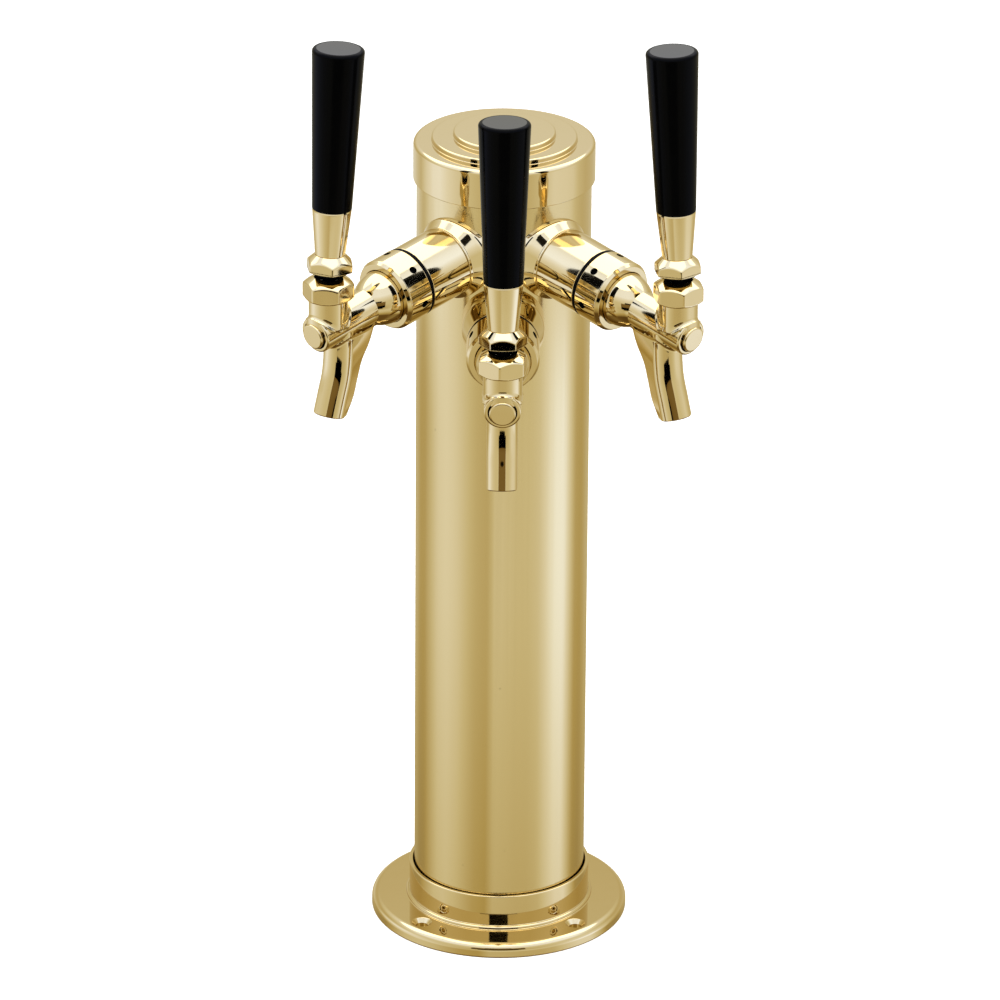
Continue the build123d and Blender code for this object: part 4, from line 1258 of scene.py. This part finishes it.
def darkness(tree, turn, z):
    """How dark the things before the tower make the tent: the darkest of the patches that hold the spot."""

    def inside(value, middle, half):
        """1 where a value lies within half a width of the middle, and 0 elsewhere."""
        off = node(tree, "ShaderNodeMath", {0: value, 1: middle}, operation="SUBTRACT")
        off = node(tree, "ShaderNodeMath", {0: off}, operation="ABSOLUTE")
        return node(tree, "ShaderNodeMath", {0: off, 1: half}, operation="LESS_THAN")

    dark = 0.0
    for half_turn, level, half_level, depth in DARK_PATCHES:
        across, upright = inside(turn, 0.0, half_turn), inside(z, level, half_level)
        spot = node(tree, "ShaderNodeMath", {0: across, 1: upright}, operation="MULTIPLY")
        spot = node(tree, "ShaderNodeMath", {0: spot, 1: depth}, operation="MULTIPLY")
        dark = node(tree, "ShaderNodeMath", {0: dark, 1: spot}, operation="MAXIMUM")
    return dark


def tent_light():
    """The tent's own light, by turn about the tower and by height: pale cloth, warm and dim where it is
    unlit, cool and strong where a soft box stands behind it, and black at the camera's opening."""
    peak = bpy.context.scene.stage_settings.tent_strength
    material, tree = new_material("tent_cloth")
    place = node(tree, "ShaderNodeTexCoord")
    apart = node(tree, "ShaderNodeSeparateXYZ", {"Vector": (place, "Object")})
    x, y, z = (apart, "X"), (apart, "Y"), (apart, "Z")
    tone, turn = brightness_by_turn_and_height(tree, x, y, z)
    opening = lamp_opening(tree, x, y, z)
    gain = 0.3  # how much the opening lifts the tent's brightness
    tone = node(tree, "ShaderNodeMath", {0: opening, 1: gain, 2: tone}, operation="MULTIPLY_ADD")
    bright = node(tree, "ShaderNodeMath", {0: 1.0, 1: darkness(tree, turn, z)}, operation="SUBTRACT")
    tone = node(tree, "ShaderNodeMath", {0: tone, 1: bright}, operation="MULTIPLY")
    cloth = node(tree, "ShaderNodeValToRGB", {"Fac": tone},
                 stops=[(at, [value / peak for value in light]) for at, light in TENT_LIGHT])
    strength = node(tree, "ShaderNodeMath", {0: opening, 1: peak, 2: peak}, operation="MULTIPLY_ADD")
    # where the lamp comes through, its light is nearly white
    lamp = opaque(value / peak for value in LAMP_LIGHT)
    mixed = node(tree, "ShaderNodeMix", {"Factor": opening, 6: cloth, 7: lamp}, data_type="RGBA")
    light = node(tree, "ShaderNodeEmission", {"Color": (mixed, 2), "Strength": strength})
    node(tree, "ShaderNodeOutputMaterial", {"Surface": light})
    return material


def stage_object(name, data):
    """Adds an object to the scene."""
    made = bpy.data.objects.new(name, data)
    bpy.context.scene.collection.objects.link(made)
    return made


def make_tent(stage):
    """The light tent: a closed drum about the tower, seen only in reflections."""
    floor, roof = -1.2, 1.6
    outline = np.array([(0.0, floor), (stage.tent_radius, floor), (stage.tent_radius, roof), (0.0, roof)])
    mesh = grid_mesh("light_tent", [patch(around(outline, 96))])
    mesh.materials.append(tent_light())
    tent = stage_object("light_tent", mesh)
    tent.visible_camera = tent.visible_diffuse = tent.visible_shadow = False
    tent.visible_transmission = tent.visible_volume_scatter = False


def make_floor(tone):
    """The floor: white to the camera, with the tower's soft shadow on it."""
    side = np.array([-6.0, 6.0])
    grid = np.stack([*np.meshgrid(side, side), np.zeros((2, 2))], axis=-1)
    mesh = grid_mesh("floor", [patch(grid, round_about=False)])
    material, tree = new_material("paper_floor")
    path = node(tree, "ShaderNodeLightPath")
    paper = node(tree, "ShaderNodeBsdfDiffuse", {"Color": opaque(tone)})
    glow = node(tree, "ShaderNodeEmission", {"Color": (1, 1, 1, 1), "Strength": 0.55})
    both = node(tree, "ShaderNodeAddShader", {0: paper, 1: glow})
    shader = node(tree, "ShaderNodeMixShader", {0: (path, "Is Camera Ray"), 1: paper, 2: both})
    node(tree, "ShaderNodeOutputMaterial", {"Surface": shader})
    mesh.materials.append(material)
    floor = stage_object("floor", mesh)
    floor.visible_glossy = False


# Each lamp's name, turn and lift in degrees, share of the lamps' power, and width in metres
LAMPS = (("key_lamp", -40, 45, 1.0, 1.2), ("fill_lamp", 45, 35, 0.8, 1.2), ("back_lamp", 180, 50, 0.6, 1.4),
         ("top_lamp", 0, 88, 0.9, 1.6))


def make_lamps(stage):
    """Plain soft lamps, which the brass doesn't mirror."""
    target, distance = Vector((0.0, 0.0, stage.aim_height)), 1.9
    for name, turn, lift, power, width in LAMPS:
        lamp = bpy.data.lights.new(name, "AREA")
        lamp.shape, lamp.size, lamp.energy = "DISK", width, stage.lamp_power * power
        carrier = stage_object(name, lamp)
        turn, lift = np.radians(turn), np.radians(lift)
        away = Vector((np.sin(turn) * np.cos(lift), -np.cos(turn) * np.cos(lift), np.sin(lift)))
        carrier.location = target + away * distance
        carrier.rotation_euler = away.to_track_quat("Z", "Y").to_euler()
        carrier.visible_glossy = False


def make_air():
    """The air round the stage: white to the camera, and dimmer to everything else."""
    world = bpy.data.worlds.new("studio_air")
    world.use_nodes = True
    tree = world.node_tree
    tree.nodes.clear()
    path = node(tree, "ShaderNodeLightPath")
    dim = node(tree, "ShaderNodeBackground", {"Color": (1, 1, 1, 1), "Strength": 0.45})
    white = node(tree, "ShaderNodeBackground", {"Color": (1, 1, 1, 1), "Strength": 1.0})
    mixed = node(tree, "ShaderNodeMixShader", {0: (path, "Is Camera Ray"), 1: dim, 2: white})
    node(tree, "ShaderNodeOutputWorld", {"Surface": mixed})
    bpy.context.scene.world = world


def make_camera(stage):
    """The camera: a long lens that looks down on the tower from the front."""
    lens = bpy.data.cameras.new("camera")
    lens.lens, lens.sensor_width = stage.lens, 36.0
    lens.clip_start, lens.clip_end = 0.1, 50.0
    camera = stage_object("camera", lens)
    away = Vector((0.0, -np.cos(stage.elevation), np.sin(stage.elevation)))
    aim = Vector((stage.aim_side, 0.0, stage.aim_height))
    camera.location = aim + away * stage.distance
    turn = away.to_track_quat("Z", "Y").to_matrix() @ Matrix.Rotation(stage.roll, 3, "Z")
    camera.rotation_euler = turn.to_euler()
    bpy.context.scene.camera = camera


class TOWER_OT_stage(bpy.types.Operator):
    """Make the floor, the light tent that the brass reflects, the lamps and the camera"""
    bl_idname = "tower.stage"
    bl_label = "Stage"

    def execute(self, context):
        scene = context.scene
        make_tent(scene.stage_settings)
        make_floor(scene.tower_finish.floor)
        make_lamps(scene.stage_settings)
        make_air()
        make_camera(scene.stage_settings)
        scene.view_settings.view_transform = "Standard"
        return {"FINISHED"}


class TOWER_PT_panel(bpy.types.Panel):
    """The pieces of the tower, in the order they are made"""
    bl_label = "Beer tower"
    bl_idname = "TOWER_PT_panel"
    bl_space_type = "VIEW_3D"
    bl_region_type = "UI"
    bl_category = "Beer tower"

    def draw(self, context):
        for operator in PIECES:
            self.layout.operator(operator.bl_idname)
        for group in GROUPS:
            settings = getattr(context.scene, group)
            box = self.layout.box()
            for name in settings.bl_rna.properties.keys():
                if name not in ("rna_type", "name"):
                    box.prop(settings, name)


PIECES = (TOWER_OT_stage, TOWER_OT_column, TOWER_OT_base, TOWER_OT_arms, TOWER_OT_coupling_nuts,
          TOWER_OT_faucets, TOWER_OT_plugs, TOWER_OT_bonnets, TOWER_OT_collars, TOWER_OT_handles,
          TOWER_OT_inner_parts)
GROUPS = {"tower_sizes": TowerSizes, "arm_sizes": ArmSizes, "faucet_sizes": FaucetSizes,
          "handle_sizes": HandleSizes, "tower_finish": TowerFinish, "stage_settings": StageSettings}


def register():
    for kind in (*GROUPS.values(), *PIECES, TOWER_PT_panel):
        bpy.utils.register_class(kind)
    for name, kind in GROUPS.items():
        setattr(bpy.types.Scene, name, PointerProperty(type=kind))


def unregister():
    for name in GROUPS:
        delattr(bpy.types.Scene, name)
    for kind in reversed((*GROUPS.values(), *PIECES, TOWER_PT_panel)):
        bpy.utils.unregister_class(kind)


def main():
    register()
    for operator in PIECES:
        group, name = operator.bl_idname.split(".")
        getattr(getattr(bpy.ops, group), name)()
    bpy.context.view_layer.update()


if __name__ == "__main__":
    main()
